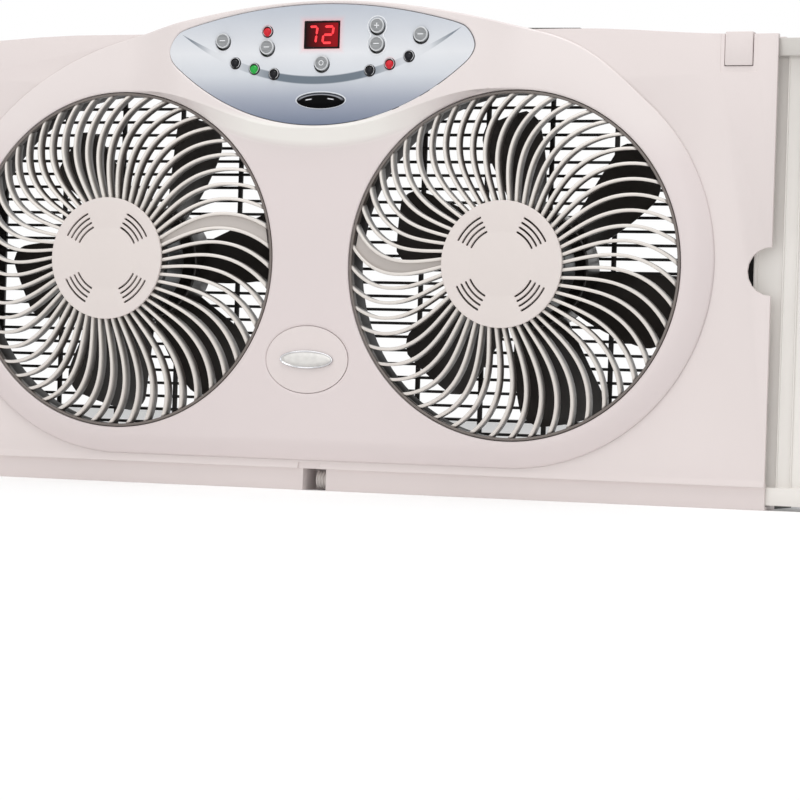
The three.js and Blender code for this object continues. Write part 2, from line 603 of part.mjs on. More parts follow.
const flangeY = FACE_Y + WALL + CLEAR;
const shroudProfile = [
  [SHROUD_R, SHROUD_FRONT_Y],
  [SHROUD_R + SHROUD_WALL, SHROUD_FRONT_Y],
  [SHROUD_R + SHROUD_WALL, flangeY],
  [SHROUD_R + SHROUD_FLANGE, flangeY],
  [SHROUD_R + SHROUD_FLANGE, flangeY + 2],
  [SHROUD_R + SHROUD_WALL, flangeY + 2],
  [SHROUD_R + SHROUD_WALL, SHROUD_BACK_Y],
  [SHROUD_R, SHROUD_BACK_Y],
  [SHROUD_R, SHROUD_FRONT_Y],
];

for (const [side, s] of SIDES) {
  const x = s * AXIS_X;
  add(`${side}_front_grille`, frontGrille(RIB_PHASE[side]), ribWhite, x);
  add(`${side}_lead_cover`, leadCover(RIB_PHASE[side], COVER_GAP[side]), ribWhite, x);
  add(`${side}_hub_cap`, hubCap(), podWhite, x);
  add(`${side}_shroud_ring`, turned(shroudProfile, SHROUD_SIDES), umber, x);
}

// ---- Motors: behind the grille hubs, each with its rotor on two plain bearings ---------------------
const bearingSeatR = BEARING_R + CLEAR;
const shaftBoreR = SHAFT_R + CLEAR;

// An end bell's profile, from its outer face to the face against the stator, which lies at faceY.
function bellProfile(outerY, faceY) {
  const inward = Math.sign(faceY - outerY);
  return [
    [bearingSeatR, outerY],
    [MOTOR_R - 3, outerY],
    [MOTOR_R, outerY + 4 * inward],
    [MOTOR_R, faceY],
    [MOTOR_R - 6, faceY],
    [MOTOR_R - 6, outerY + 8 * inward],
    [bearingSeatR, outerY + 8 * inward],
    [bearingSeatR, outerY],
  ];
}

// One blade: it is pitched, so its anticlockwise edge lies deeper than its clockwise edge.
function blade() {
  const radii = steps(IMPELLER_HUB_R - 1.2, BLADE_TIP_R, 3);
  const chord = steps(-0.5, 0.5, 2);
  return loft(radii.map((r) => {
    const t = (r - radii[0]) / (BLADE_TIP_R - radii[0]);
    const spread = rad(42 - 13 * t);
    const lag = rad(6 * t);
    const half = 1.3 - 0.5 * t;
    const at = (u, dy) => {
      const a = u * spread + lag;
      const pitch = (BLADE_BACK_Y - BLADE_FRONT_Y - 3) * (u + 0.5);
      const camber = BLADE_CAMBER * (1 - 4 * u * u);
      return [r * Math.cos(a), BLADE_FRONT_Y + 1.5 + pitch + camber + dy, r * Math.sin(a)];
    };
    return [...chord.map((u) => at(u, -half)), ...[...chord].reverse().map((u) => at(u, half))];
  }));
}

const hubFrontY = BLADE_FRONT_Y + 2;
const hubBackY = BLADE_BACK_Y - 2;

function impeller(phase) {
  const bossR = SHAFT_R + 6;
  const cup = turned([
    [shaftBoreR, hubBackY - 8],
    [bossR, hubBackY - 8],
    [bossR, hubBackY - 2.5],
    [IMPELLER_HUB_R - 3, hubBackY - 2.5],
    [IMPELLER_HUB_R - 3, hubFrontY],
    [IMPELLER_HUB_R, hubFrontY],
    [IMPELLER_HUB_R, hubBackY],
    [shaftBoreR, hubBackY],
    [shaftBoreR, hubBackY - 8],
  ], 24);
  const blades = Array.from({ length: BLADES }, (_, k) =>
    blade().rotateY(-(phase + (k * 2 * Math.PI) / BLADES)));
  return join(cup, ...blades);
}

const BLADE_PHASE = { left: rad(4), right: rad(38) };
const nutFrontY = hubBackY + CLEAR;
const bearings = [['front', MOTOR_FRONT_Y + 0.5], ['rear', MOTOR_BACK_Y - 0.5 - BEARING_L]];
const frontBell = turned(bellProfile(MOTOR_FRONT_Y, STATOR_FRONT_Y - CLEAR), MOTOR_SIDES);
const rearBell = turned(bellProfile(MOTOR_BACK_Y, STATOR_BACK_Y + CLEAR), MOTOR_SIDES);
const stator = ring(ROTOR_R + AIR_GAP, STATOR_R, STATOR_FRONT_Y, STATOR_BACK_Y, MOTOR_SIDES);
const rotor = ring(shaftBoreR, ROTOR_R, STATOR_FRONT_Y + 1, STATOR_BACK_Y - 1, MOTOR_SIDES);

for (const [side, s] of SIDES) {
  const x = s * AXIS_X;
  add(`${side}_motor_front_bell`, frontBell, steel, x);
  add(`${side}_motor_stator`, stator, steel, x);
  add(`${side}_motor_rear_bell`, rearBell, steel, x);
  for (const [end, y] of bearings) {
    const bearing = ring(shaftBoreR, BEARING_R, y, y + BEARING_L, MOTOR_SIDES);
    add(`${side}_motor_${end}_bearing`, bearing, bronze, x);
  }
  add(`${side}_motor_rotor`, rotor, steel, x);
  add(`${side}_motor_shaft`, disc(SHAFT_R, MOTOR_FRONT_Y + 1, BLADE_BACK_Y + 1, 10), steel, x);
  add(`${side}_impeller`, impeller(BLADE_PHASE[side]), bladeBlack, x);
  add(`${side}_impeller_nut`, ring(shaftBoreR, SHAFT_R + 4, nutFrontY, nutFrontY + 5, 12), black, x);
}

// ---- Run capacitors: they stand on the casing's floor, between the fans ----------------------------
for (const [side, s] of SIDES) {
  const floorZ = -AXIS_Z + WALL;
  add(`${side}_run_capacitor`, endBox(s, 34, 64, 40, 56, floorZ + CLEAR, floorZ + 25), black);
}

// ---- Extenders: ribbed panels whose rails ride inside the casing -----------------------------------
const panelInnerX = HALF_WIDTH - PANEL_OVERLAP;
const panelOuterX = panelInnerX + PANEL_W;
const RAIL_BOTTOM_Z = -AXIS_Z + WALL + 0.7;

function extender() {
  const ribXs = [];
  for (let x = panelInnerX + PANEL_RIB_START; x < panelOuterX - 9; x += PANEL_RIB_PITCH) ribXs.push(x);
  const front = ribXs.flatMap((x) => [
    [x - PANEL_RIB_W / 2, PANEL_FACE_Y],
    [x - PANEL_RIB_W / 2, PANEL_FACE_Y - PANEL_RIB_H],
    [x + PANEL_RIB_W / 2, PANEL_FACE_Y - PANEL_RIB_H],
    [x + PANEL_RIB_W / 2, PANEL_FACE_Y],
  ]);
  const panelBackY = PANEL_FACE_Y + PANEL_T;
  const profile = [
    [panelInnerX, PANEL_FACE_Y - 4],
    [panelInnerX + 2, PANEL_FACE_Y - 4],
    [panelInnerX + 2, PANEL_FACE_Y],
    ...front,
    [panelOuterX - 6, PANEL_FACE_Y],
    [panelOuterX - 6, RAIL_FRONT_Y],
    [panelOuterX, RAIL_FRONT_Y],
    [panelOuterX, RAIL_BACK_Y],
    [panelOuterX - 2, RAIL_BACK_Y],
    [panelOuterX - 2, panelBackY],
    [panelInnerX, panelBackY],
  ];
  const height = RAIL_TOP_Z - RAIL_BOTTOM_Z - 2 * RAIL_H + 2;
  const panel = new THREE.ExtrudeGeometry(polygon(profile), { depth: height, bevelEnabled: false })
    .translate(0, 0, RAIL_BOTTOM_Z + RAIL_H - 1);
  const rail = (z0) => box(panelInnerX - RAIL_REACH, panelOuterX, RAIL_FRONT_Y, RAIL_BACK_Y, z0, z0 + RAIL_H);
  return join(panel, rail(RAIL_TOP_Z - RAIL_H), rail(RAIL_BOTTOM_Z));
}

// The tab that locks the extender: a plate in the face's slot with a lip over the top edge.
function lockTab() {
  const [x0, x1] = [TAB_X - TAB_W / 2, TAB_X + TAB_W / 2];
  const plate = box(x0, x1, FACE_Y - 0.6, FACE_Y + WALL + 0.4, TAB_TOP_Z - TAB_H, TAB_TOP_Z);
  const lip = box(x0, x1, FACE_Y + 1, FACE_Y + 7, TAB_TOP_Z - 2, TAB_TOP_Z);
  return join(plate, lip);
}

for (const [side, s] of SIDES) {
  add(`${side}_extender`, pick(s, extender()), podWhite);
  add(`${side}_lock_tab`, pick(s, lockTab()), warmWhite);
}

// ---- Rear housing and rear grille: black, with a flange for the window sash ------------------------
const windowTopZ = 138;
const windowBottomZ = -136;
const grilleHalf = HALF_WIDTH - REAR_GRILLE_INSET;
const slatHalf = grilleHalf - REAR_FRAME;
const screwX = HALF_WIDTH - SCREW_INSET;
const SCREWS = SIDES.flatMap(([side, s]) => [[side, s, 'lower', -141], [side, s, 'upper', 143]]);
const rearSlab = (yFront) => [yFront, REAR_Y + REAR_GRILLE_T + 5];

// Holes for the casing screws, or for their heads.
const screwHoles = (yFront, r = SCREW_R + CLEAR) =>
  SCREWS.map(([, s, , z]) => disc(r, ...rearSlab(yFront), 10, s * screwX, z));

function rearHousing() {
  const endInset = 2;
  const beyond = HALF_WIDTH + 50;
  const shell = slab(casingShape(0, endInset, 0), REAR_WALL_FRONT_Y, REAR_Y);
  const inside = slab(casingShape(WALL, endInset + WALL, WALL), REAR_WALL_FRONT_Y - 1, REAR_Y - WALL);
  const flangeTop = steps(FLANGE_HALF, -FLANGE_HALF, 6).map((x) => [x, FLANGE_TOP_Z - x ** 2 / 20000]);
  const flange = slab(polygon([[-FLANGE_HALF, 140], [FLANGE_HALF, 140], ...flangeTop]), REAR_Y - 6, REAR_Y);
  const parting = FRONT_HOUSING_BACK_Y + CLEAR;
  const topRelief = box(-beyond, beyond, 0, parting, windowTopZ + 7, 300);
  const bottomRelief = box(-beyond, beyond, 0, parting, -300, -AXIS_Z + WALL + 1);
  const backWindow = box(-slatHalf - 13, slatHalf + 13, ...rearSlab(REAR_Y - 26), windowBottomZ, windowTopZ);
  return cut(join(shell, flange), inside, topRelief, bottomRelief, backWindow, ...screwHoles(REAR_Y - 26));
}

const screwHeadY = rearGrilleY + 1.3;

function rearGrille() {
  const plate = box(-grilleHalf, grilleHalf, rearGrilleY, rearGrilleY + REAR_GRILLE_T, -147, 149);
  const bars = [-slatHalf, 0, slatHalf];
  const gaps = [];
  for (let row = 0; row < SLAT_ROWS; row++) {
    const z0 = (row - SLAT_ROWS / 2) * SLAT_PITCH + SLAT_W / 2;
    for (let b = 0; b + 1 < bars.length; b++) {
      gaps.push(box(bars[b] + BAR_W / 2, bars[b + 1] - BAR_W / 2, ...rearSlab(REAR_Y - 26), z0,
        z0 + SLAT_PITCH - SLAT_W));
    }
  }
  const headWells = screwHoles(screwHeadY - CLEAR, SCREW_HEAD_R + CLEAR);
  return cut(plate, ...gaps, ...screwHoles(REAR_Y - 26), ...headWells);
}
add('rear_housing', rearHousing(), black);
add('rear_grille', rearGrille(), black);

// ---- Casing screws: they hold the rear grille to the rear housing ---------------------------------
const screwProfile = [
  [0, rearGrilleY - 8],
  [SCREW_R, rearGrilleY - 8],
  [SCREW_R, screwHeadY],
  [SCREW_HEAD_R, screwHeadY],
  [SCREW_HEAD_R, screwHeadY + 1],
  [0, screwHeadY + 1],
];
for (const [side, s, level, z] of SCREWS) {
  add(`${side}_${level}_casing_screw`, turned(screwProfile, 10), steel, s * screwX, z);
}

// ---- Cord gland: a ribbed sleeve in the slot under the face ----------------------------------------
function cordGland() {
  const rings = steps(0, 7.5, 6);
  const outer = rings.flatMap((y, i) => [[i % 2 ? 5 : 6.1, y]]);
  const profile = [[2.6, 0], ...outer, [6.4, 8.7], [2.6, 8.7], [2.6, 0]];
  return turned(profile, 12).rotateZ(-Math.PI / 2).translate(cordSlot.x1 - CLEAR - 8.7, 17, -144.8);
}
add('cord_gland', cordGland(), umber);

export default fan;
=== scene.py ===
import json
import math

import bmesh
import bpy
import numpy as np
from mathutils import Matrix, Vector
from mathutils.geometry import delaunay_2d_cdt


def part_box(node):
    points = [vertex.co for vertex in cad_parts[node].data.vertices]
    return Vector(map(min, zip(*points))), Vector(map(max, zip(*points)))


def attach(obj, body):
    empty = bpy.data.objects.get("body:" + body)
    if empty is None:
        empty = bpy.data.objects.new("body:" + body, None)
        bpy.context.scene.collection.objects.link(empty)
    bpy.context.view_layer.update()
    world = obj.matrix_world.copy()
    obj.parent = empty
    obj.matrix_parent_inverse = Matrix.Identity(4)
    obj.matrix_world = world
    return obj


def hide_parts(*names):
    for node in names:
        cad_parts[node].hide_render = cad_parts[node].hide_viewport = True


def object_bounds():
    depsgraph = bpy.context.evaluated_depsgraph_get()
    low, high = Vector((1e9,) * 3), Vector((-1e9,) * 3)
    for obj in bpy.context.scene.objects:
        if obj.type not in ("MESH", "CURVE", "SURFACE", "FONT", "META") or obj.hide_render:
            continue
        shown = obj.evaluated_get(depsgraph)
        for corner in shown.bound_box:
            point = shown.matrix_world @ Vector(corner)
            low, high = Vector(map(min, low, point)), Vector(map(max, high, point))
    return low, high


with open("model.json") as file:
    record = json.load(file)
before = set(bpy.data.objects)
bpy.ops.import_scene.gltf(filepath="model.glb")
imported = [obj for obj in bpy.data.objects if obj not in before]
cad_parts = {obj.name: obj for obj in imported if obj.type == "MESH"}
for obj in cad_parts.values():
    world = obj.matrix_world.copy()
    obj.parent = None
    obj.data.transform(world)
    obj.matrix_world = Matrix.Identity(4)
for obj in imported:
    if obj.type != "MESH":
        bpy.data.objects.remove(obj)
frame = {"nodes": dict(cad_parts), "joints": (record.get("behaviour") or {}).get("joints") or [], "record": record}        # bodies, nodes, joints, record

CAD_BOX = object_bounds()

# ---- Rear housing -------------------------------------------------------------------------------
# A deep black tray, injection moulded. It screws up behind the front housing and ends in a flange
# that the window sash closes against.

MM = 0.001
SIDES = {"left": -1, "right": 1}
FAN_AXIS = next(joint["pos_m"] for joint in frame["joints"] if joint["name"] == "right_fan_spin")
AXIS_X = FAN_AXIS[0] / MM
# Pieces are drawn in millimetres round the middle of the two fan axes, on the bezel's flat front.
ORIGIN = Vector((0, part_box("badge_inset")[0].y, FAN_AXIS[2]))


class Wire:
    """A shader value. Arithmetic on it adds Math nodes, and node() adds any other node."""

    def __init__(self, tree, socket=None):
        self.tree, self.socket = tree, socket

    def node(self, kind, settings=None, inputs=None, output=0):
        made = self.tree.nodes.new(kind)
        for name, value in (settings or {}).items():
            if name == "stops":
                set_stops(made.color_ramp, value)
            else:
                setattr(made, name, value)
        feed(made, inputs or {})
        return Wire(self.tree, made.outputs[output])

    def math(self, operation, other=0.0, swapped=False):
        first, second = (other, self) if swapped else (self, other)
        return self.node("ShaderNodeMath", {"operation": operation}, {0: first, 1: second})

    def __add__(self, other):
        return self.math("ADD", other)

    def __sub__(self, other):
        return self.math("SUBTRACT", other)

    def __mul__(self, other):
        return self.math("MULTIPLY", other)

    def __truediv__(self, other):
        return self.math("DIVIDE", other)

    def __radd__(self, other):
        return self.math("ADD", other, swapped=True)

    def __rsub__(self, other):
        return self.math("SUBTRACT", other, swapped=True)

    def __rmul__(self, other):
        return self.math("MULTIPLY", other, swapped=True)

    def clipped(self, low, high):
        """0 up to low, 1 from high on, and straight between them."""
        limits = {"Value": self, "From Min": low, "From Max": high}
        return self.node("ShaderNodeMapRange", {"clamp": True}, limits)

    def along(self, axis):
        """How far a place lies from ORIGIN along one axis, in millimetres."""
        value = self.node("ShaderNodeSeparateXYZ", None, {"Vector": self}, output=axis)
        return (value - ORIGIN[axis]) * (1 / MM)

    def noise(self, scale, detail=2.0):
        return self.node("ShaderNodeTexNoise", None, {"Vector": self, "Scale": scale, "Detail": detail})

    def mix(self, first, second):
        """Blends two colours by this value."""
        inputs = {"Factor": self, 6: first, 7: second}
        return self.node("ShaderNodeMix", {"data_type": "RGBA"}, inputs, output=2)


def feed(node, sockets):
    """Links the values that change over a surface, and sets the others on the node itself."""
    for name, value in sockets.items():
        if isinstance(value, Wire):
            value.tree.links.new(value.socket, node.inputs[name])
        else:
            node.inputs[name].default_value = value


def set_stops(ramp, stops):
    while len(ramp.elements) < len(stops):
        ramp.elements.new(0.5)
    for element, (place, colour) in zip(ramp.elements, stops):
        element.position, element.color = place, colour


def paint(red, green, blue):
    """A colour as seen, from 0 to 255, in the linear form that shaders take."""
    def linear(value):
        value /= 255
        return value / 12.92 if value <= 0.04045 else ((value + 0.055) / 1.055) ** 2.4
    return linear(red), linear(green), linear(blue), 1.0


def new_finish(name):
    """A material, its shader, and the place on the piece that its patterns start from."""
    material = bpy.data.materials.new(name)
    material.use_nodes = True
    tree = material.node_tree
    return material, tree.nodes["Principled BSDF"], Wire(tree).node("ShaderNodeTexCoord", output="Object")


def moulded(name, colour, roughness, shift=0.04, texture=0.02, gloss=0.0, specular=0.5, second=None):
    """Moulded plastic: a tone that drifts a little, and the fine texture of the mould.

    second is another tone, and a function of x, y and z in millimetres that gives its share."""
    material, shader, place = new_finish(name)
    drift, grain, wear = place.noise(9.0), place.noise(1400.0), place.noise(60.0, 4.0)
    deep = tuple(channel * (1 - shift) for channel in colour[:3]) + (1.0,)
    lift = tuple(min(1.0, channel * (1 + shift)) for channel in colour[:3]) + (1.0,)
    tone = drift.clipped(0.3, 0.7).mix(deep, lift)
    if second:
        other, share = second
        tone = share(*(place.along(axis) for axis in range(3))).mix(tone, other)
    bump = place.node("ShaderNodeBump", None, {"Height": grain, "Strength": texture * 5, "Distance": 0.0001})
    feed(shader, {"Base Color": tone, "Roughness": roughness + (wear - 0.5) * 0.12, "Normal": bump,
                  "Coat Weight": gloss, "Coat Roughness": 0.15, "Specular IOR Level": specular})
    return material


def finished(name, form, finish, body, stands_for, crease=35):
    """Turns a bmesh into a piece: smooth but for its sharp edges, riding on a body."""
    mesh = bpy.data.meshes.new(name)
    form.to_mesh(mesh)
    form.free()
    mesh.shade_smooth()
    mesh.set_sharp_from_angle(angle=math.radians(crease))
    mesh.materials.append(finish)
    made = bpy.data.objects.new(name, mesh)
    bpy.context.scene.collection.objects.link(made)
    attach(made, body)
    if stands_for:
        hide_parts(*stands_for)


def softened(node, width, finish, body="casing"):
    """The node's own shape with its sharp edges eased to a radius in millimetres."""
    form = bmesh.new()
    form.from_mesh(frame["nodes"][node].data)
    bmesh.ops.remove_doubles(form, verts=form.verts, dist=1e-6)
    bmesh.ops.dissolve_limit(form, angle_limit=math.radians(0.5), verts=form.verts, edges=form.edges)
    sharp = [edge for edge in form.edges if edge.is_manifold and edge.calc_face_angle(0) > math.radians(38)]
    bmesh.ops.bevel(form, geom=sharp, offset=width * MM, segments=2, profile=0.5, affect="EDGES",
                    clamp_overlap=True)
    finished(node + "_shell", form, finish, body, [node])


BLACK_SHELL = moulded("black_shell", paint(38, 35, 34), 0.48, texture=0.04)
softened("rear_housing", 0.8, BLACK_SHELL)


# ---- Rear grille --------------------------------------------------------------------------------
# A flat black grid, moulded in one with its frame: close slats across, and stouter uprights. Four
# screws hold it to the rear housing.

def corners_of(node):
    """A node's lowest and highest corners, in millimetres."""
    return [(corner - ORIGIN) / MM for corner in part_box(node)]


def middle_of(node):
    low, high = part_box(node)
    place = ((low + high) / 2 - ORIGIN) / MM
    return place.x, place.z


GRID_LOW, GRID_HIGH = corners_of("rear_grille")
GRID_HALF = 277
SLAT_PITCH = 9.27
BAR_PITCH = 46.1


def merged(*shapes):
    points, faces = [], []
    for more_points, more_faces in shapes:
        faces += [tuple(corner + len(points) for corner in face) for face in more_faces]
        points += more_points
    return points, faces


def piece(name, shape, finish, body, slot, *stands_for, crease=35):
    """A piece from points in millimetres and faces."""
    points, faces = shape
    mesh = bpy.data.meshes.new(name + "_draft")
    mesh.from_pydata([ORIGIN + Vector(point) * MM for point in points], [], faces)
    form = bmesh.new()
    form.from_mesh(mesh)
    bpy.data.meshes.remove(mesh)
    bmesh.ops.remove_doubles(form, verts=form.verts, dist=2e-6)
    bmesh.ops.recalc_face_normals(form, faces=form.faces)
    finished(name, form, finish, body, stands_for, crease)


def skin(rings, loop=False):
    """Faces between like rings of points; the first and last rings are closed, or joined in a loop."""
    count = len(rings[0])
    points = [point for ring in rings for point in ring]
    faces = []
    for k in range(len(rings) - (not loop)):
        here, there = k * count, (k + 1) % len(rings) * count
        for i in range(count):
            j = (i + 1) % count
            faces.append((here + i, here + j, there + j, there + i))
    if not loop:
        faces.append(tuple(range(count)))
        faces.append(tuple(range(len(points) - count, len(points))))
    return points, faces


def rounded(corners, radius, steps=4, closed=True):
    """An outline with each corner eased by a short curve."""
    outline = []
    for i, corner in enumerate(corners):
        if not closed and i in (0, len(corners) - 1):
            outline.append(tuple(corner))
            continue
        here = Vector(corner)
        back, on = Vector(corners[i - 1]) - here, Vector(corners[(i + 1) % len(corners)]) - here
        reach = min(radius, back.length * 0.45, on.length * 0.45)
        start, end = here + back.normalized() * reach, here + on.normalized() * reach
        for k in range(steps + 1):
            t = k / steps
            outline.append(tuple((1 - t) ** 2 * start + 2 * t * (1 - t) * here + t * t * end))
    return outline


def bar(x0, x1, y0, y1, z0, z1, ease):
    """A straight bar with eased edges, along whichever of x and z is longer."""
    if x1 - x0 > z1 - z0:
        section = rounded([(y0, z0), (y1, z0), (y1, z1), (y0, z1)], ease, 3)
        return skin([[(x, y, z) for y, z in section] for x in (x0, x1)])
    section = rounded([(x0, y0), (x1, y0), (x1, y1), (x0, y1)], ease, 3)
    return skin([[(x, y, z) for x, y in section] for z in (z0, z1)])


slat_span = 14 * SLAT_PITCH
slat_rows = [bar(-GRID_HALF, GRID_HALF, GRID_LOW.y, GRID_HIGH.y - 0.6, z - 1.0, z + 1.0, 0.6)
             for z in np.arange(-slat_span + SLAT_PITCH, slat_span - 1, SLAT_PITCH)]
uprights = [bar(x - 1.7, x + 1.7, GRID_LOW.y + 0.4, GRID_HIGH.y, -slat_span, slat_span, 0.7)
            for x in np.arange(-5 * BAR_PITCH, 5.5 * BAR_PITCH, BAR_PITCH)]


def circle(radius, x=0.0, z=0.0, steps=96, squash=1.0):
    angles = np.linspace(0, 2 * math.pi, steps, endpoint=False)
    return [(x + radius * math.cos(a), z + radius * squash * math.sin(a)) for a in angles]


def inside(points, outline):
    """Which of the points lie inside a closed outline, by counting the edges crossed."""
    points, start = np.asarray(points), np.asarray(outline)
    end = np.roll(start, -1, 0)
    x, z = points[:, :1], points[:, 1:]
    spans = (start[:, 1] > z) != (end[:, 1] > z)
    rise = np.where(end[:, 1] == start[:, 1], 1, end[:, 1] - start[:, 1])
    crossing = start[:, 0] + (z - start[:, 1]) * (end[:, 0] - start[:, 0]) / rise
    return (spans & (x < crossing)).sum(1) % 2 == 1


def within(points, loops):
    """Which of the points lie inside the first loop and outside the others."""
    kept = inside(points, loops[0])
    for hole in loops[1:]:
        kept &= ~inside(points, hole)
    return kept


def nearest(points, others):
    """The distance from each point to the closest of the others."""
    return np.array([math.sqrt(((others - point) ** 2).sum(1).min()) for point in points])


def sideways(ring):
    """The direction across an outline at each of its points, to the left of its run."""
    along = np.roll(ring, -1, 0) - np.roll(ring, 1, 0)
    return np.stack([-along[:, 1], along[:, 0]], 1) / np.linalg.norm(along, axis=1)[:, None]


def facets(loops, extra):
    """Triangles that fill the first loop but for the others, through the extra points."""
    points = [Vector(point) for loop in loops for point in loop] + [Vector(point) for point in extra]
    edges, first = [], 0
    for loop in loops:
        edges += [(first + i, first + (i + 1) % len(loop)) for i in range(len(loop))]
        first += len(loop)
    _, _, triangles, source, _, _ = delaunay_2d_cdt(points, edges, [], 0, 1e-6)
    triangles = [[source[corner][0] for corner in face] for face in triangles if all(source[c] for c in face)]
    centres = np.array([[sum(points[c][axis] for c in face) / 3 for axis in (0, 1)] for face in triangles])
    return [face for face, keep in zip(triangles, within(centres, loops)) if keep]


def filling(loops, spacing, creases):
    """Points along the creases, then others a spacing apart, clear of the loops and the creases."""
    edge = np.array([point for loop in loops for point in loop])
    xs = np.arange(edge[:, 0].min(), edge[:, 0].max(), spacing)
    zs = np.arange(edge[:, 1].min(), edge[:, 1].max(), spacing * 0.87)
    grid = np.array([(x + (k % 2) * spacing / 2, z) for k, z in enumerate(zs) for x in xs])
    grid = grid[within(grid, loops)]
    rows = np.array([point for row in creases for point in row])
    rows = rows[within(rows, loops)]
    rows = rows[nearest(rows, edge) > 0.4]
    grid = grid[nearest(grid, np.vstack([edge, rows])) > spacing * 0.45]
    return [tuple(point) for point in np.vstack([rows, grid])]


def sheet(outer, holes, front, back, ease, spacing=None, creases=()):
    """A sheet drawn in x and z, with holes and eased front edges.

    front is its depth, or a function of x and z that gives it at points a spacing apart and along
    each crease. ease is how far an edge is eased inwards; it is eased 0.6 of that in depth."""
    depth = front if callable(front) else lambda x, z: front
    turns = [k / 4 * math.pi / 2 for k in range(5)]
    points, faces, rims = [], [], []
    for loop, winding in [(outer, 1)] + [(hole, -1) for hole in holes]:
        ring = np.array(loop)
        on = np.roll(ring, -1, 0)
        area = (ring[:, 0] * on[:, 1] - on[:, 0] * ring[:, 1]).sum()
        if area * winding < 0:
            ring = ring[::-1]
        first, count = len(points), len(ring)
        for turn in turns:
            shifted = ring + sideways(ring) * ease * (1 - math.sin(turn))
            points += [(x, depth(x, z) + 0.6 * ease * (1 - math.cos(turn)), z) for x, z in shifted]
        points += [(x, back, z) for x, z in ring]
        for k in range(len(turns)):
            for i in range(count):
                j = (i + 1) % count
                a, b = first + k * count, first + (k + 1) * count
                faces.append((a + i, a + j, b + j, b + i))
        rims.append((first, count))
    for level in (0, len(turns)):
        loops, index = [], []
        for first, count in rims:
            start = first + level * count
            index += range(start, start + count)
            loops.append([(points[k][0], points[k][2]) for k in range(start, start + count)])
        extra = filling(loops, spacing, creases) if spacing and level == 0 else []
        index += range(len(points), len(points) + len(extra))
        points += [(x, depth(x, z), z) for x, z in extra]
        faces += [tuple(index[corner] for corner in face) for face in facets(loops, extra)]
    return points, faces


def block(half_x, low_z, high_z, corner=1.0):
    return rounded([(-half_x, low_z), (half_x, low_z), (half_x, high_z), (-half_x, high_z)], corner)


SCREWS = [f"{side}_{level}_casing_screw" for side in SIDES for level in ("lower", "upper")]
grid_holes = [block(GRID_HALF, -slat_span, slat_span)] + [circle(4.4, *middle_of(screw), 32) for screw in SCREWS]
# The sheet is drawn facing forwards, then turned to face the back.
border = sheet(block(GRID_HIGH.x, GRID_LOW.z, GRID_HIGH.z, 3), grid_holes, -GRID_HIGH.y, -GRID_LOW.y, 0.6)
border = [(x, -y, z) for x, y, z in border[0]], border[1]
piece("rear_grid", merged(border, *slat_rows, *uprights), BLACK_SHELL, "casing", "rear_shell", "rear_grille")


def metal(name, colour, roughness, scratch=0.12):
    """Machined or plated metal, with fine marks in its polish."""
    material, shader, place = new_finish(name)
    marks = place.noise(320.0, 5.0)
    dark = tuple(channel * 0.9 for channel in colour[:3]) + (1.0,)
    feed(shader, {"Base Color": marks.clipped(0.35, 0.65).mix(dark, colour),
                  "Roughness": roughness + (marks - 0.5) * scratch, "Metallic": 1.0})
    return material


def turned(profile, x=0.0, z=0.0, steps=96, loop=False):
    """A profile of (radius, y) points turned round an axis that runs front to back."""
    angles = np.linspace(0, 2 * math.pi, steps, endpoint=False)
    rings = [[(x + r * math.cos(a), y, z + r * math.sin(a)) for a in angles] for r, y in profile]
    return skin(rings, loop)


def tube(inner, outer, front, back, ease, x, z, steps):
    """A plain ring with eased edges."""
    profile = rounded([(inner, front), (outer, front), (outer, back), (inner, back)], ease)
    return turned(profile, x, z, steps, loop=True)


SCREW_STEEL = metal("screw_steel", paint(168, 170, 172), 0.32)
for screw in SCREWS:
    x, z = middle_of(screw)
    low, high = corners_of(screw)
    head = rounded([(0.01, high.y - 0.1), (3.1, high.y - 0.1), (3.95, high.y - 1.0), (1.7, high.y - 1.1),
                    (1.7, low.y + 1.5), (0.4, low.y), (0.01, low.y)], 0.4, closed=False)
    # The cross recess in each head is drawn as two black bars: painted shade.
    slots = [bar(x - 2, x + 2, high.y - 0.25, high.y, z - 0.4, z + 0.4, 0.1),
             bar(x - 0.4, x + 0.4, high.y - 0.25, high.y, z - 2, z + 2, 0.1)]
    piece(screw + "_turned", turned(head, x, z, 40), SCREW_STEEL, "casing", "steel", screw)
    piece(screw + "_recess_shade", merged(*slots), BLACK_SHELL, "casing", "rear_shell")


# ---- Run capacitors -----------------------------------------------------------------------------
# One black plastic box for each motor, standing on the casing's floor between the fans.

CAPACITOR_CASE = moulded("capacitor_case", paint(30, 30, 32), 0.35, texture=0.01)
for side in SIDES:
    softened(side + "_run_capacitor", 1.5, CAPACITOR_CASE)


# ---- Motors -------------------------------------------------------------------------------------
# Each motor is a laminated stator between two die-cast bells, with a plain bronze bearing in each.
# The rotor and its shaft turn inside. The front bell screws to the grille's hub.

CAST_ZINC = metal("cast_zinc", paint(150, 152, 154), 0.5, 0.25)
SINTERED_BRONZE = metal("sintered_bronze", paint(170, 130, 76), 0.45)
GROUND_STEEL = metal("ground_steel", paint(190, 192, 194), 0.22)


def laminated():
    """Stacked steel sheets: thin dark seams across the stack."""
    material, shader, place = new_finish("stator_laminations")
    depth = place.node("ShaderNodeSeparateXYZ", None, {"Vector": place}, output=1)
    seam = (depth * 2000.0).math("FRACT").clipped(0.75, 0.95)
    feed(shader, {"Base Color": seam.mix(paint(140, 142, 144), paint(70, 70, 72)), "Metallic": 0.9,
                  "Roughness": 0.42})
    return material


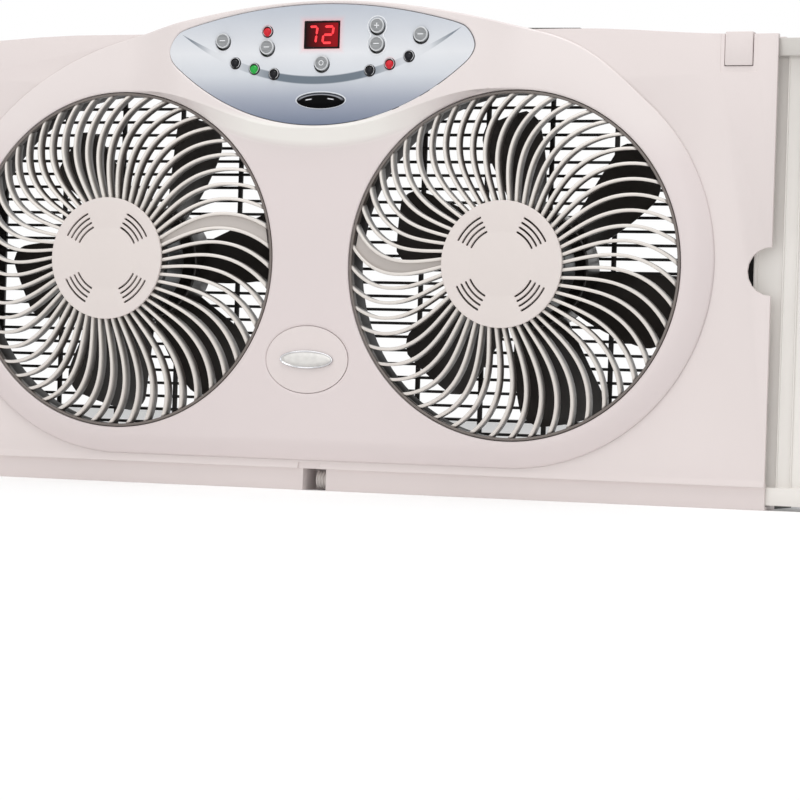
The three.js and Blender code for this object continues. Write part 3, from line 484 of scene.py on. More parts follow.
LAMINATIONS = laminated()
for side, sign in SIDES.items():
    x = sign * AXIS_X
    for node, finish, body, outer, inner in (
            ("motor_front_bell", CAST_ZINC, "casing", 34, 8.3), ("motor_rear_bell", CAST_ZINC, "casing", 34, 8.3),
            ("motor_stator", LAMINATIONS, "casing", 36, 19.6),
            ("motor_front_bearing", SINTERED_BRONZE, "casing", 8, 3.3),
            ("motor_rear_bearing", SINTERED_BRONZE, "casing", 8, 3.3),
            ("motor_rotor", LAMINATIONS, side + "_fan", 18.8, 3.3)):
        low, high = corners_of(f"{side}_{node}")
        ease = 3.5 if "bell" in node else 0.5
        ring = tube(inner, outer, low.y, high.y, ease, x, 0, 72)
        slot = "bronze" if "bearing" in node else "steel"
        piece(f"{side}_{node}_turned", ring, finish, body, slot, f"{side}_{node}")
    low, high = corners_of(side + "_motor_shaft")
    shaft = rounded([(0.01, low.y), (3, low.y), (3, high.y), (0.01, high.y)], 0.5, closed=False)
    piece(side + "_motor_shaft_turned", turned(shaft, x, 0, 32), GROUND_STEEL, side + "_fan", "steel",
          side + "_motor_shaft")


# ---- Impellers ----------------------------------------------------------------------------------
# Six pitched blades on a cup-shaped hub, moulded in one in near-black plastic. A nut on the end of
# the shaft holds each impeller.

IMPELLER_BLACK = moulded("impeller_black", paint(50, 46, 43), 0.32, texture=0.01, gloss=0.3)
BLADES = 6
BLADE_TIP = 105
BLADE_FRONT, BLADE_BACK = 38, 68
HUB = 40
BLADE_PHASE = {"left": 4, "right": 38}


def blade(x, phase):
    """A curved blade, from hub to tip; its anticlockwise edge lies deeper than the other."""
    chord = np.linspace(-0.5, 0.5, 17)
    rings = []
    for t in np.linspace(0, 1, 22):
        r = HUB - 1 + (BLADE_TIP - HUB + 1) * t
        tip = 1 - 0.32 * max(0.0, (t - 0.8) / 0.2) ** 3
        spread = math.radians(42 - 13 * t) * tip
        lag = math.radians(phase + 6 * t)

        def corner(u, face):
            a = u * spread + lag
            thick = (1.25 - 0.5 * t) * (1 - abs(2 * u) ** 5 * 0.75)
            camber = 2.4 * (1 - 4 * u * u)
            y = BLADE_FRONT + 1.5 + (BLADE_BACK - BLADE_FRONT - 3) * (u * tip + 0.5) + camber
            return x + r * math.cos(a), y + face * thick, r * math.sin(a)

        rings.append([corner(u, -1) for u in chord] + [corner(u, 1) for u in chord[::-1]])
    return skin(rings)


for side, sign in SIDES.items():
    x = sign * AXIS_X
    low, high = corners_of(side + "_impeller_nut")
    cup = rounded([(3.3, BLADE_BACK - 10), (9, BLADE_BACK - 10), (9, BLADE_BACK - 4.5), (HUB - 2.5, BLADE_BACK - 4.5),
                   (HUB - 2.5, BLADE_FRONT + 2), (HUB, BLADE_FRONT + 2), (HUB, BLADE_BACK - 2),
                   (3.3, BLADE_BACK - 2)], 1.5)
    blades = [blade(x, BLADE_PHASE[side] + k * 360 / BLADES) for k in range(BLADES)]
    piece(side + "_impeller_moulding", merged(turned(cup, x, 0, 96, loop=True), *blades), IMPELLER_BLACK,
          side + "_fan", "impeller", side + "_impeller")
    nut = tube(3.3, 6.9, low.y, high.y, 0.6, x, 0, 12)
    piece(side + "_impeller_nut_turned", nut, BLACK_SHELL, side + "_fan", "rear_shell", side + "_impeller_nut")


# ---- Shroud rings -------------------------------------------------------------------------------
# A dark ring behind each grille guides the air. It clips to the back of the front housing by its
# flange.

SHROUD_UMBER = moulded("shroud_umber", paint(52, 46, 44), 0.5)
for side, sign in SIDES.items():
    low, high = corners_of(side + "_shroud_ring")
    wall_in, wall_out, flange = 113.2, 115.7, 120.2
    profile = [(wall_in, low.y), (wall_out, low.y), (wall_out, low.y + 2.8), (flange, low.y + 2.8),
               (flange, low.y + 4.8), (wall_out, low.y + 4.8), (wall_out, high.y), (wall_in, high.y)]
    ring = turned(rounded(profile, 0.5, 2), sign * AXIS_X, 0, 160, loop=True)
    piece(side + "_shroud_ring_turned", ring, SHROUD_UMBER, "casing", "shroud", side + "_shroud_ring")


# ---- Front housing ------------------------------------------------------------------------------
# The wide warm-white shell that faces the room: one moulding, with a skirt under a thin ledge, and
# open at both ends for the extenders.

HOUSING_WHITE = moulded("housing_white", paint(221, 211, 209), 0.5, shift=0.012, texture=0.03)
softened("front_housing", 0.5, HOUSING_WHITE)


# ---- Extenders and their locks ------------------------------------------------------------------
# A ribbed panel slides out of each end of the casing on two rails. A flush tab in the face slides
# up to free it.

# The extender's top rail, above z 134 mm, takes a darker tone: painted shade, for the rail sitting recessed behind
# the face.
EXTENDER_WHITE = moulded("extender_white", paint(227, 223, 218), 0.42, shift=0.01,
                         second=(paint(199, 195, 190), lambda x, y, z: z.clipped(134, 136)))
for side in SIDES:
    softened(side + "_extender", 0.5, EXTENDER_WHITE, side + "_extender_panel")
    softened(side + "_lock_tab", 0.5, HOUSING_WHITE, side + "_extender_lock")


# ---- Cord gland ---------------------------------------------------------------------------------
# A ribbed sleeve in the slot under the face, where the cord comes out sideways.

gland_low, gland_high = corners_of("cord_gland")
GLAND_GREY = moulded("gland_grey", paint(196, 190, 186), 0.5)
gland_y, gland_z = (gland_low.y + gland_high.y) / 2, (gland_low.z + gland_high.z) / 2
gland_profile = [(2.6, gland_low.x)]
for ridge in range(4):
    start = gland_low.x + ridge * 2.1
    gland_profile += [(5.0, start), (6.0, start + 0.5), (6.0, start + 1.1), (5.0, start + 1.6)]
gland_profile += [(6.3, gland_high.x - 0.6), (6.3, gland_high.x), (2.6, gland_high.x)]
points, faces = turned(rounded(gland_profile, 0.3, 2), 0, 0, 48, loop=True)
gland = [(y, gland_y + x, gland_z + z) for x, y, z in points], faces
piece("cord_gland_sleeve", gland, GLAND_GREY, "casing", "shroud", "cord_gland")


# ---- Front bezel --------------------------------------------------------------------------------
# The raised surround of both openings, moulded in one with the control pod that stands out above
# them. It clips over the front housing.

def cream_and_painted_light_share(x, y, z):
    """A paler cream's share: a little towards the top of the bezel, and most along the middle of the pod's lower
    wall, where it is painted light, the glow that wall catches from below.
    """
    off = (z - x * x * (1 / 420) - 85).math("ABSOLUTE")
    along = 1 - x.math("ABSOLUTE").clipped(45, 105)
    return (z.clipped(66, 92) * 0.2).math("MAXIMUM", (1 - off.clipped(4, 10)) * along)


# The bezel's second tone is painted light along the pod's lower wall, and a faint cream towards its top.
BEZEL_WHITE = moulded("bezel_white", paint(217, 206, 205), 0.34, shift=0.012, texture=0.015, gloss=0.25,
                      second=(paint(240, 237, 232), cream_and_painted_light_share))
POD_X = 4.5
CROWN_X, CROWN_HALF, CROWN_FALL = POD_X + 5.5, 140, 23.2
CROWN_TOP = (CAD_BOX[1][2] - ORIGIN.z) / MM
OPENING = 114.5
PLATEAU = 118
SURROUND_X, SURROUND_Z, SURROUND_R = 141.5, 3.5, 135.5
LIP_DEPTH, BEZEL_BACK = 4.8, 5.7
POD_FRONT = -6.5


def smooth(share):
    """Runs from 0 to 1 with soft ends."""
    share = np.clip(share, 0, 1)
    return share * share * (3 - 2 * share)


def ridge_z(x):
    """Height of the ridge at the top of the pod's lower wall."""
    share = min(abs(x) / 140, 1)
    return 88.8 + 26.3 * share ** 3 * (share * (6 * share - 15) + 10)


def foot_z(x):
    """Height where that wall meets the bezel's flat front, or the edge of an opening."""
    opening = math.sqrt(max(0, OPENING ** 2 - (AXIS_X - abs(x)) ** 2))
    return min(max(76.8 + x * x / 370, opening - 0.8), ridge_z(x) - 1.5)


def crown(x):
    share = ((x - CROWN_X) / CROWN_HALF) ** 2
    return CROWN_TOP - CROWN_FALL * (share - 0.155 * share * share)


def half_outline(side):
    """One side of the surround, from the crown's middle round to the bottom."""
    end = CROWN_X + side * CROWN_HALF
    half = [(x, crown(x)) for x in np.linspace(CROWN_X, end, 46)]
    join = math.radians(48)
    knots = [Vector(half[-1]), Vector((end + side * 38, 146)), Vector((side * 202.2, 131.2)),
             Vector((side * (SURROUND_X + SURROUND_R * math.cos(join)), SURROUND_Z + SURROUND_R * math.sin(join)))]
    for t in np.linspace(0, 1, 32)[1:]:
        shares = (1 - t) ** 3, 3 * t * (1 - t) ** 2, 3 * t * t * (1 - t), t ** 3
        point = sum((knot * share for share, knot in zip(shares, knots)), Vector((0, 0)))
        half.append(tuple(point))
    for a in np.radians(np.linspace(48, -90, 120)[1:]):
        half.append((side * (SURROUND_X + SURROUND_R * math.cos(a)), SURROUND_Z + SURROUND_R * math.sin(a)))
    return half + [(side * x, SURROUND_Z - SURROUND_R) for x in np.arange(SURROUND_X - 4, 1, -4)]


OUTLINE = half_outline(1) + half_outline(-1)[:0:-1]
REACH = {}
for side in (1, -1):
    polar = sorted((math.atan2(z, side * x - AXIS_X), math.hypot(side * x - AXIS_X, z))
                   for x, z in OUTLINE if side * x > AXIS_X)
    REACH[side] = np.array(polar)


def bezel_depth(x, z):
    """Depth of the bezel's front: the flat middle, the slope out to the lip, and the pod."""
    beyond = abs(x) - AXIS_X
    if beyond > 0:
        distance = math.hypot(beyond, z)
        around = REACH[1 if x > 0 else -1]
        reach = np.interp(math.atan2(z, beyond), around[:, 0], around[:, 1])
    else:
        distance = abs(z)
        reach = crown(x) if z > 0 else SURROUND_R - SURROUND_Z
    share = min(max((distance - PLATEAU) / max(reach - PLATEAU, 1), 0), 1)
    surround = LIP_DEPTH * share ** 1.7
    ridge, foot = ridge_z(x), foot_z(x)
    wall = min(max((z - foot) / (ridge - foot), 0), 1) ** 1.15
    away = smooth((146 - abs(x - 6)) / 44)
    pod = POD_FRONT * wall * away
    crest = 0.9 * smooth((z - ridge) / max(crown(x) - ridge, 1) * 1.6 - 0.6)
    return pod + crest * away + surround * (1 - wall * away) if z > foot else surround


def spline(knots, steps=9):
    """A smooth closed run through the knots."""
    run = []
    count = len(knots)
    for i in range(count):
        a, b, c, d = (np.array(knots[(i + k) % count]) for k in (-1, 0, 1, 2))
        for t in np.linspace(0, 1, steps, endpoint=False):
            point = (2 * b + (c - a) * t + (2 * a - 5 * b + 4 * c - d) * t * t + (3 * b - a - 3 * c + d) * t ** 3) / 2
            run.append(tuple(point))
    return run


def lens(gap):
    """The outline of the control fascia, grown by a gap."""
    half = [(x, CROWN_TOP - 2.5 - x * x / 652) for x in np.linspace(0, 96, 11)]
    half += [(102.8, 154.2), (107.3, 149), (109.6, 142.7), (108.6, 137.6), (105.4, 132.8)]
    half += [(x, 91.2 + x * x / 310 + 4.5 * (x / 100) ** 4) for x in np.linspace(100, 0, 13)]
    knots = half + [(-x, z) for x, z in half[-2:0:-1]]
    outline = np.array(spline([(POD_X + x, z + 0.01 * x) for x, z in knots]))
    return [tuple(point) for point in outline + sideways(outline) * gap]


BADGE_Z = ((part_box("badge_inset")[0].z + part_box("badge_inset")[1].z) / 2 - ORIGIN.z) / MM
BADGE_X, BADGE_UP = 29.5, 22.4
bezel_holes = [circle(OPENING, sign * AXIS_X, 0, 240) for sign in (-1, 1)]
bezel_holes += [lens(0.4), circle(BADGE_X + 0.3, 0, BADGE_Z, 96, BADGE_UP / BADGE_X)]
fill = 2.0
creases = [[(x, line(x) + shift) for x in np.arange(-133, 133.5, 1.4)]
           for line in (ridge_z, foot_z) for shift in (-0.5, 0, 0.5)]
bezel = sheet(OUTLINE, bezel_holes, bezel_depth, BEZEL_BACK, 1.4, fill, creases)
piece("front_bezel_moulding", bezel, BEZEL_WHITE, "casing", "bezel", "front_bezel", crease=50)


# ---- Badge --------------------------------------------------------------------------------------
# An oval plate let into the bezel, flush with it, and a small plated oval on it, left bare.

badge = sheet(circle(BADGE_X, 0, BADGE_Z, 96, BADGE_UP / BADGE_X), [], 0, 1.7, 0.35)
piece("badge_inset_plate", badge, HOUSING_WHITE, "casing", "housing", "badge_inset")


def oval(half_x, half_z, profile, x=0.0, z=0.0, steps=96):
    """Rings inset from an oval, each at its own depth."""
    angles = np.linspace(0, 2 * math.pi, steps, endpoint=False)
    return skin([[(x + (half_x - inset) * math.cos(a), y, z + (half_z - inset) * math.sin(a)) for a in angles]
                 for inset, y in profile])


PLATED = metal("plated_rim", paint(214, 214, 216), 0.12, 0.05)
SATIN_SILVER = metal("satin_silver", paint(204, 202, 199), 0.4, 0.1)
rim_profile = [(0, -0.3), (0, -1.0), (0.25, -1.4), (0.7, -1.5), (1.2, -1.3), (1.5, -0.9), (1.5, -0.3)]
rim = oval(19.2, 6.2, rim_profile, 0, BADGE_Z)
piece("badge_plate_rim", rim, PLATED, "casing", "badge", "badge_plate")
field = oval(17.8, 4.8, [(0, -0.4), (0, -0.9), (0.3, -1.05), (2.5, -1.15)], 0, BADGE_Z)
piece("badge_plate_field", field, SATIN_SILVER, "casing", "badge")


# ---- Control board ------------------------------------------------------------------------------
# A green circuit board behind the pod, with a switch under each button.

BOARD_GREEN = moulded("board_green", paint(52, 104, 72), 0.35, shift=0.15, gloss=0.4)
softened("control_board", 0.15, BOARD_GREEN)


# ---- Control fascia -----------------------------------------------------------------------------
# A lens-shaped sheet of printed film on plastic, set in the pod: silver in the middle, steel blue
# towards its top and bottom edges, with a printed crescent under the controls.

FASCIA_FRONT = -6.1
BUTTONS = [node for node in frame["nodes"] if node.endswith("_button")]
INDICATORS = [node for node in frame["nodes"] if node.endswith("_indicator")]
DISPLAY_LOW, DISPLAY_HIGH = corners_of("display")
DISPLAY_X, DISPLAY_Z = middle_of("display")
IR_X, IR_Z = middle_of("ir_window")
SLOT_OF = {entry["node"]: entry["material_slot"] for entry in frame["record"]["subparts"]}
# The film's tone from the pod's lower edge to its top, and the crescent's strength from middle to tip.
FILM_TONES = ((0.0, (110, 120, 141)), (0.22, (158, 164, 178)), (0.42, (207, 211, 217)), (0.6, (222, 224, 228)),
              (1.0, (182, 188, 198)))
CRESCENT = ((0.0, 1.0), (0.3, 1.0), (0.66, 0.0), (0.78, 0.1), (0.93, 0.9), (1.0, 0.7))


def printed_film():
    material, shader, place = new_finish("printed_film")
    x, z = place.along(0), place.along(2)
    stops = [(share, paint(*tone)) for share, tone in FILM_TONES]
    toned = z.node("ShaderNodeValToRGB", {"stops": stops}, {"Fac": (z - 91) / 80})
    # The crescent: a thin curved band, drawn from the pod's middle to its two tips.
    across = (x - POD_X) / 101
    arch = 120.9 + across * across * 33 + across * 1.4
    thick = (1 - across.math("ABSOLUTE").math("POWER", 5.0)) * 2.6
    band = 1 - ((z - arch).math("ABSOLUTE") / thick.math("MAXIMUM", 0.05)).clipped(0.85, 1.15)
    levels = [(share, (level, level, level, 1)) for share, level in CRESCENT]
    strength = x.node("ShaderNodeValToRGB", {"stops": levels}, {"Fac": across.math("ABSOLUTE")})
    printed = (band * strength * thick.clipped(0.0, 0.1)).mix(toned, paint(104, 115, 126))
    # Painted light: the glow of the red figures and lights is painted onto the film close to them.
    aside = (x - DISPLAY_X).math("ABSOLUTE") - (DISPLAY_HIGH.x - DISPLAY_LOW.x) / 2
    above = (z - DISPLAY_Z).math("ABSOLUTE") - (DISPLAY_HIGH.z - DISPLAY_LOW.z) / 2
    glow = 1 - aside.math("MAXIMUM", above).clipped(0.0, 5.0)
    for node in INDICATORS:
        if SLOT_OF[node] == "led_red":
            light_x, light_z = middle_of(node)
            apart = ((x - light_x).math("POWER", 2) + (z - light_z - 0.4).math("POWER", 2)).math("SQRT")
            glow = glow.math("MAXIMUM", 1 - apart.clipped(3.0, 5.5))
    printed = (glow * glow * 0.4).mix(printed, paint(255, 150, 150))
    grain = place.noise(1800.0)
    bump = place.node("ShaderNodeBump", None, {"Height": grain, "Strength": 0.08, "Distance": 0.00005})
    feed(shader, {"Base Color": printed, "Roughness": 0.34 + grain * 0.08, "Normal": bump,
                  "Specular IOR Level": 0.3})
    return material


def window_outline(grow):
    low, high = (DISPLAY_LOW.x - grow, DISPLAY_LOW.z - grow), (DISPLAY_HIGH.x + grow, DISPLAY_HIGH.z + grow)
    return rounded([low, (high[0], low[1]), high, (low[0], high[1])], 0.5)


def fascia_holes(key_r, light_r, grow=0.3):
    """Openings in the film, or the closer ones in the black sheet behind it."""
    # Each key's opening sits 0.9 mm low, so the black sheet behind shows as a dark crescent under the key, and the
    # wider light openings show it as a dark ring round each light: painted shadow.
    holes = [circle(key_r, x, z - 0.9, 48) for x, z in map(middle_of, BUTTONS)]
    holes += [circle(light_r, x, z - 0.1, 32) for x, z in map(middle_of, INDICATORS)]
    return holes + [window_outline(grow), circle(17.9 + grow, IR_X, IR_Z, 72, (5.6 + grow) / (17.9 + grow))]


fascia = sheet(lens(0), fascia_holes(5.7, 4.1), FASCIA_FRONT, FASCIA_FRONT + 1.1, 0.25)
piece("control_fascia_film", fascia, printed_film(), "casing", "fascia", "control_fascia")
# A black sheet behind the film, seen through the gaps round the keys and lights: painted shadow.
shadow_backing = sheet(lens(-0.3), fascia_holes(5.3, 2.8), FASCIA_FRONT + 1.15, FASCIA_FRONT + 1.9, 0.1)
piece("control_fascia_backing", shadow_backing, BLACK_SHELL, "casing", "fascia")


# ---- Display ------------------------------------------------------------------------------------
# A smoked window over two lit seven-segment figures, in a black frame.

def smoked():
    """Dark red plastic, brighter towards the right where the figures light it."""
    material, shader, place = new_finish("smoked_window")
    tone = place.along(0).clipped(DISPLAY_X - 11, DISPLAY_X + 9).mix(paint(30, 8, 10), paint(118, 14, 20))
    feed(shader, {"Base Color": tone, "Emission Color": tone, "Emission Strength": 0.6, "Roughness": 0.25,
                  "Specular IOR Level": 0.05})
    return material


window = sheet(window_outline(0), [], DISPLAY_LOW.y + 0.3, DISPLAY_HIGH.y, 0.2)
piece("display_window", window, smoked(), "casing", "display", "display")


def lamp(name, colour, strength):
    """Clear plastic lit from behind, with a fine speckle."""
    material, shader, place = new_finish(name)
    dim = tuple(channel * 0.75 for channel in colour[:3]) + (1.0,)
    tone = place.noise(700.0).clipped(0.3, 0.7).mix(dim, colour)
    feed(shader, {"Base Color": tone, "Emission Color": tone, "Emission Strength": strength, "Roughness": 0.2,
                  "Specular IOR Level": 0.25})
    return material


# Which of a figure's seven bars are lit: top, upper left, upper right, middle, lower left, lower right
# and bottom.
FIGURES = {"7": (1, 0, 1, 0, 0, 1, 0), "2": (1, 0, 1, 1, 1, 0, 1)}
BAR_ENDS = [((0, 2), (1, 2)), ((0, 1), (0, 2)), ((1, 1), (1, 2)), ((0, 1), (1, 1)), ((0, 0), (0, 1)),
            ((1, 0), (1, 1)), ((0, 0), (1, 0))]
FIGURE_H, FIGURE_LEAN, BAR_HALF = 10.8, 0.12, 0.78


def figure(digit, left, width):
    shapes = []
    for lit, ends in zip(FIGURES[digit], BAR_ENDS):
        if not lit:
            continue
        start, end = (Vector((left + u * width + v * FIGURE_H / 2 * FIGURE_LEAN,
                              DISPLAY_Z + (v - 1) * FIGURE_H / 2)) for u, v in ends)
        on = (end - start).normalized()
        side = Vector((-on.y, on.x)) * BAR_HALF
        start, end = start + on * 0.25, end - on * 0.25
        slope = on * BAR_HALF
        outline = [start, start + slope + side, end - slope + side, end, end - slope - side, start + slope - side]
        depths = DISPLAY_LOW.y + 0.18, DISPLAY_LOW.y + 0.5
        shapes.append(skin([[(p.x, y, p.y) for p in outline] for y in depths]))
    return shapes


figures = figure("7", DISPLAY_X - 10.2, 5.6) + figure("2", DISPLAY_X + 0.4, 6.6)
piece("display_figures", merged(*figures), lamp("figure_red", paint(240, 50, 56), 0.9), "casing", "display")
FRAME_BLACK = moulded("frame_black", paint(14, 10, 11), 0.4, specular=0.1)
window_frame = sheet(window_outline(0), [window_outline(-1.0)], DISPLAY_LOW.y, DISPLAY_LOW.y + 0.6, 0.15)
piece("display_frame", window_frame, FRAME_BLACK, "casing", "display")


# ---- Receiver window ----------------------------------------------------------------------------
# A domed gloss-black oval over the infrared receiver, in a thin satin rim.

def gloss_black():
    """Black and highly polished. Two streaks of light on its dome are painted reflections; it is also drawn paler
    along its upper edge, with a grey arc along its top.
    """
    material, shader, place = new_finish("gloss_black")
    x, z = place.along(0) - IR_X, place.along(2) - IR_Z
    # Two streaks of light on the dome: painted reflections.
    streaks = None
    for middle_x, middle_z, lean in ((-8.4, 0.3, 0.14), (7.4, 0.6, -0.14)):
        off = (z - middle_z - (x - middle_x) * lean).math("ABSOLUTE") / 0.42
        along = (x - middle_x).math("ABSOLUTE") / 2.6
        streak = 1 - off.math("MAXIMUM", along).clipped(0.5, 1.0)
        streaks = streak if streaks is None else streaks.math("MAXIMUM", streak)
    level = ((x / 16.2).math("POWER", 2) + ((z + 1.2) / 4.9).math("POWER", 2)).math("SQRT")
    arc = (1 - ((level - 1).math("ABSOLUTE")).clipped(0.03, 0.09)) * z.clipped(-0.5, 1.5)
    black = (level.clipped(0.95, 1.1) * z.clipped(0.0, 2.0)).mix(paint(8, 8, 9), paint(58, 60, 66))
    dark = arc.mix(black, paint(150, 152, 158))
    feed(shader, {"Base Color": streaks.mix(dark, paint(226, 226, 230)), "Roughness": 0.12,
                  "Specular IOR Level": 0.03})
    return material


SATIN_RIM = moulded("satin_rim", paint(206, 210, 216), 0.3)
bulge = [(0, FASCIA_FRONT + 2)] + [(5.2 * (1 - math.cos(a)), FASCIA_FRONT - 0.95 * math.sin(a))
                                   for a in np.linspace(0, math.pi / 2, 9)]
ir_dome = oval(17.2, 5.3, bulge, IR_X, IR_Z - 0.25)
piece("ir_window_dome", ir_dome, gloss_black(), "casing", "display", "ir_window")
ir_rim = sheet(circle(18.3, IR_X, IR_Z, 96, 6.0 / 18.3), [circle(17.4, IR_X, IR_Z - 0.25, 96, 5.35 / 17.4)],
               FASCIA_FRONT - 0.3, FASCIA_FRONT + 0.8, 0.2)
piece("ir_window_rim", ir_rim, SATIN_RIM, "casing", "display")


# ---- Buttons ------------------------------------------------------------------------------------
# Six round grey keys, each with a raised rim round a shallow dish. Each is sprung and retained
# behind the pod's wall by a flange.

def key_top():
    """Grey plastic, brushed across."""
    material, shader, place = new_finish("key_grey")
    stretched = place.node("ShaderNodeMapping", None, {"Vector": place, "Scale": (200, 200, 4000)})
    tone = stretched.noise(1.0, 3.0).clipped(0.3, 0.7).mix(paint(124, 126, 128), paint(160, 162, 164))
    feed(shader, {"Base Color": tone, "Roughness": 0.4, "Specular IOR Level": 0.3})
    return material


KEY_GREY = key_top()
KEY_RIM_HIGHLIGHT = moulded("key_rim_highlight", paint(206, 208, 210), 0.3)
KEY_MARK = moulded("key_mark", paint(236, 238, 240), 0.4)
KEY_R = 5.05
for node in BUTTONS:
    x, z = middle_of(node)
    low, high = corners_of(node)
    top = low.y
    profile = rounded([(0.01, top + 0.4), (4.1, top + 0.3), (4.1, top + 0.9), (KEY_R, top + 0.9), (KEY_R, -1.5),
                       (KEY_R + 0.7, -1.5), (KEY_R + 0.7, -0.5), (1.6, -0.5), (1.6, high.y), (0.01, high.y)],
                      0.2, 3, closed=False)
    piece(node + "_key", turned(profile, x, z, 64), KEY_GREY, node + "_cap", "button", node)
    # The rim is a paler grey than the key's face: a painted highlight along the key's raised rim.
    edge = rounded([(4.1, top + 0.3), (4.4, top), (4.75, top + 0.1), (KEY_R, top + 0.9), (4.1, top + 0.9)], 0.15, 3)
    piece(node + "_rim", turned(edge, x, z, 64, loop=True), KEY_RIM_HIGHLIGHT, node + "_cap", "button")
    face = (top + 0.2, top + 0.5)
    if node == "light_button":
        mark = tube(1.3, 1.75, *face, 0.1, x, z, 40)
    elif node == "temperature_up_button":
        mark = merged(bar(x - 1.7, x + 1.7, *face, z - 0.3, z + 0.3, 0.1),
                      bar(x - 0.3, x + 0.3, *face, z - 1.7, z + 1.7, 0.1))
    else:
        mark = bar(x - 2.0, x + 2.0, *face, z - 0.3, z + 0.3, 0.1)
    piece(node + "_mark", mark, KEY_MARK, node + "_cap", "button")

# A collar in the shape of an eight stands round the two temperature keys.
(up_x, up_z), (down_x, down_z) = middle_of("temperature_up_button"), middle_of("temperature_down_button")


def figure_eight(radius, waist=0.85):
    """Two circles of a radius round the keys, with the waist between them drawn in."""
    sweep = math.acos((up_z - down_z) / 2 / radius * waist)
    top = [(up_x + radius * math.cos(a), up_z - 0.5 + radius * math.sin(a))
           for a in np.linspace(sweep - math.pi / 2, 3 * math.pi / 2 - sweep, 49)]
    return top + [(x, up_z + down_z - 1 - z) for x, z in top[::-1]]


collar = sheet(figure_eight(7.0), [figure_eight(6.5)], FASCIA_FRONT - 0.35, FASCIA_FRONT + 0.2, 0.15)
piece("temperature_collar", collar, KEY_MARK, "casing", "button")


# ---- Indicator lights ---------------------------------------------------------------------------
# Seven small domed lights, each in a plated ring: three for speed, three for airflow, one for the
# automatic setting.

LED_DARK = moulded("led_dark", paint(15, 16, 22), 0.08, texture=0.0, specular=0.2)
LED_FINISH = {"led_off": LED_DARK, "led_red": lamp("led_lit_red", paint(196, 30, 42), 0.25),
              "led_green": lamp("led_lit_green", paint(34, 158, 62), 0.25)}
for node in INDICATORS:
    x, z = middle_of(node)
    low, high = corners_of(node)
    bulb = [(0.01, low.y)] + [(2.9 * math.sin(a), low.y + 1.6 * (1 - math.cos(a)))
                              for a in np.linspace(0.15, math.pi / 2, 9)]
    bulb += [(2.45, FASCIA_FRONT + 0.9), (2.45, high.y), (0.01, high.y)]
    piece(node + "_lens", turned(bulb, x, z - 0.5, 40), LED_FINISH[SLOT_OF[node]], "casing", SLOT_OF[node], node)
    cup = rounded([(3.0, FASCIA_FRONT + 0.9), (3.1, FASCIA_FRONT - 0.7), (3.4, FASCIA_FRONT - 0.7),
                   (3.55, FASCIA_FRONT + 0.9)], 0.2, 3)
    piece(node + "_cup", turned(cup, x, z + 0.2, 40, loop=True), PLATED, "casing", "badge")


# ---- Front grilles ------------------------------------------------------------------------------
# Fifty-two thin curved ribs on a shallow dome, moulded with their rim and hub. A cover fills one
# gap between two ribs, over the motor's lead.

COVER_GREY = moulded("cover_grey", paint(190, 183, 178), 0.45)
RIBS = 52
RIB_HALF = 1.1
RIB_DEPTH = 9
RIM_IN, RIM_OUT = 111, 114
HUB_OUT, HUB_IN = 38.8, 36
DOME = 16.8
RIB_SWEEP, RIB_HOOK = 39.5, 31
RIB_PITCH = 2 * math.pi / RIBS
RIB_PHASE = {"left": math.radians(4.2), "right": math.radians(0.45)}
COVER_GAP = {"left": 0, "right": 24}


def dome(r):
    return -DOME * (1 - ((r - HUB_OUT) / (RIM_IN - HUB_OUT)) ** 2)


def behind(x, y, z):
    """Painted shade: how deep a place lies behind the ribs' front edges, from 0 to 1, with the rim counted as deep;
    there the grille takes a darker tone.
    """
    aside = x.math("ABSOLUTE") - AXIS_X
    radius = (aside * aside + z * z).math("SQRT")
    share = (radius - HUB_OUT) / (RIM_IN - HUB_OUT)
    return (y + DOME * (1 - share * share)).clipped(0.4, 4.5).math("MAXIMUM", radius.clipped(RIM_IN, RIM_IN + 1))


# The grille turns darker on the ribs' flanks and on its rim: painted shade.
GRILLE_WHITE = moulded("grille_white", paint(224, 218, 212), 0.36, shift=0.01, gloss=0.2,
                       second=(paint(108, 99, 94), behind))


def rib_angle(r):
    u = (RIM_OUT - r) / (RIM_OUT - HUB_OUT)
    return math.radians(RIB_SWEEP * u - RIB_HOOK * u * u)


def rib_lean(r):
    """How far a rib leans from the radius, as an angle."""
    u = (RIM_OUT - r) / (RIM_OUT - HUB_OUT)
    return math.atan(r * math.radians(RIB_SWEEP - 2 * RIB_HOOK * u) / (RIM_OUT - HUB_OUT))


def along_rib(x, turn, half_width, section, start, end, steps=26):
    """A bar that follows the rib curve, from radius start to end."""
    rings = []
    for r in np.linspace(start, end, steps):
        wide = half_width(r) / (r * math.cos(rib_lean(r)))
        angles = [(turn + rib_angle(r) + side * wide, deep) for side, deep in section]
        rings.append([(x + r * math.cos(a), dome(r) + deep, r * math.sin(a)) for a, deep in angles])
    return skin(rings)


RIB_SECTION = [(-1.0, 1.0), (-0.82, 0.35), (-0.42, 0.05), (0, 0), (0.42, 0.05), (0.82, 0.35), (1.0, 1.0),
               (0.68, RIB_DEPTH - 0.4), (0.4, RIB_DEPTH), (-0.4, RIB_DEPTH), (-0.68, RIB_DEPTH - 0.4)]
COVER_SECTION = [(-1, 2.6), (1, 2.6), (1, 5.6), (-1, 5.6)]


def cover_half(r):
    return r * math.cos(rib_lean(r)) * RIB_PITCH / 2 - RIB_HALF + 0.15


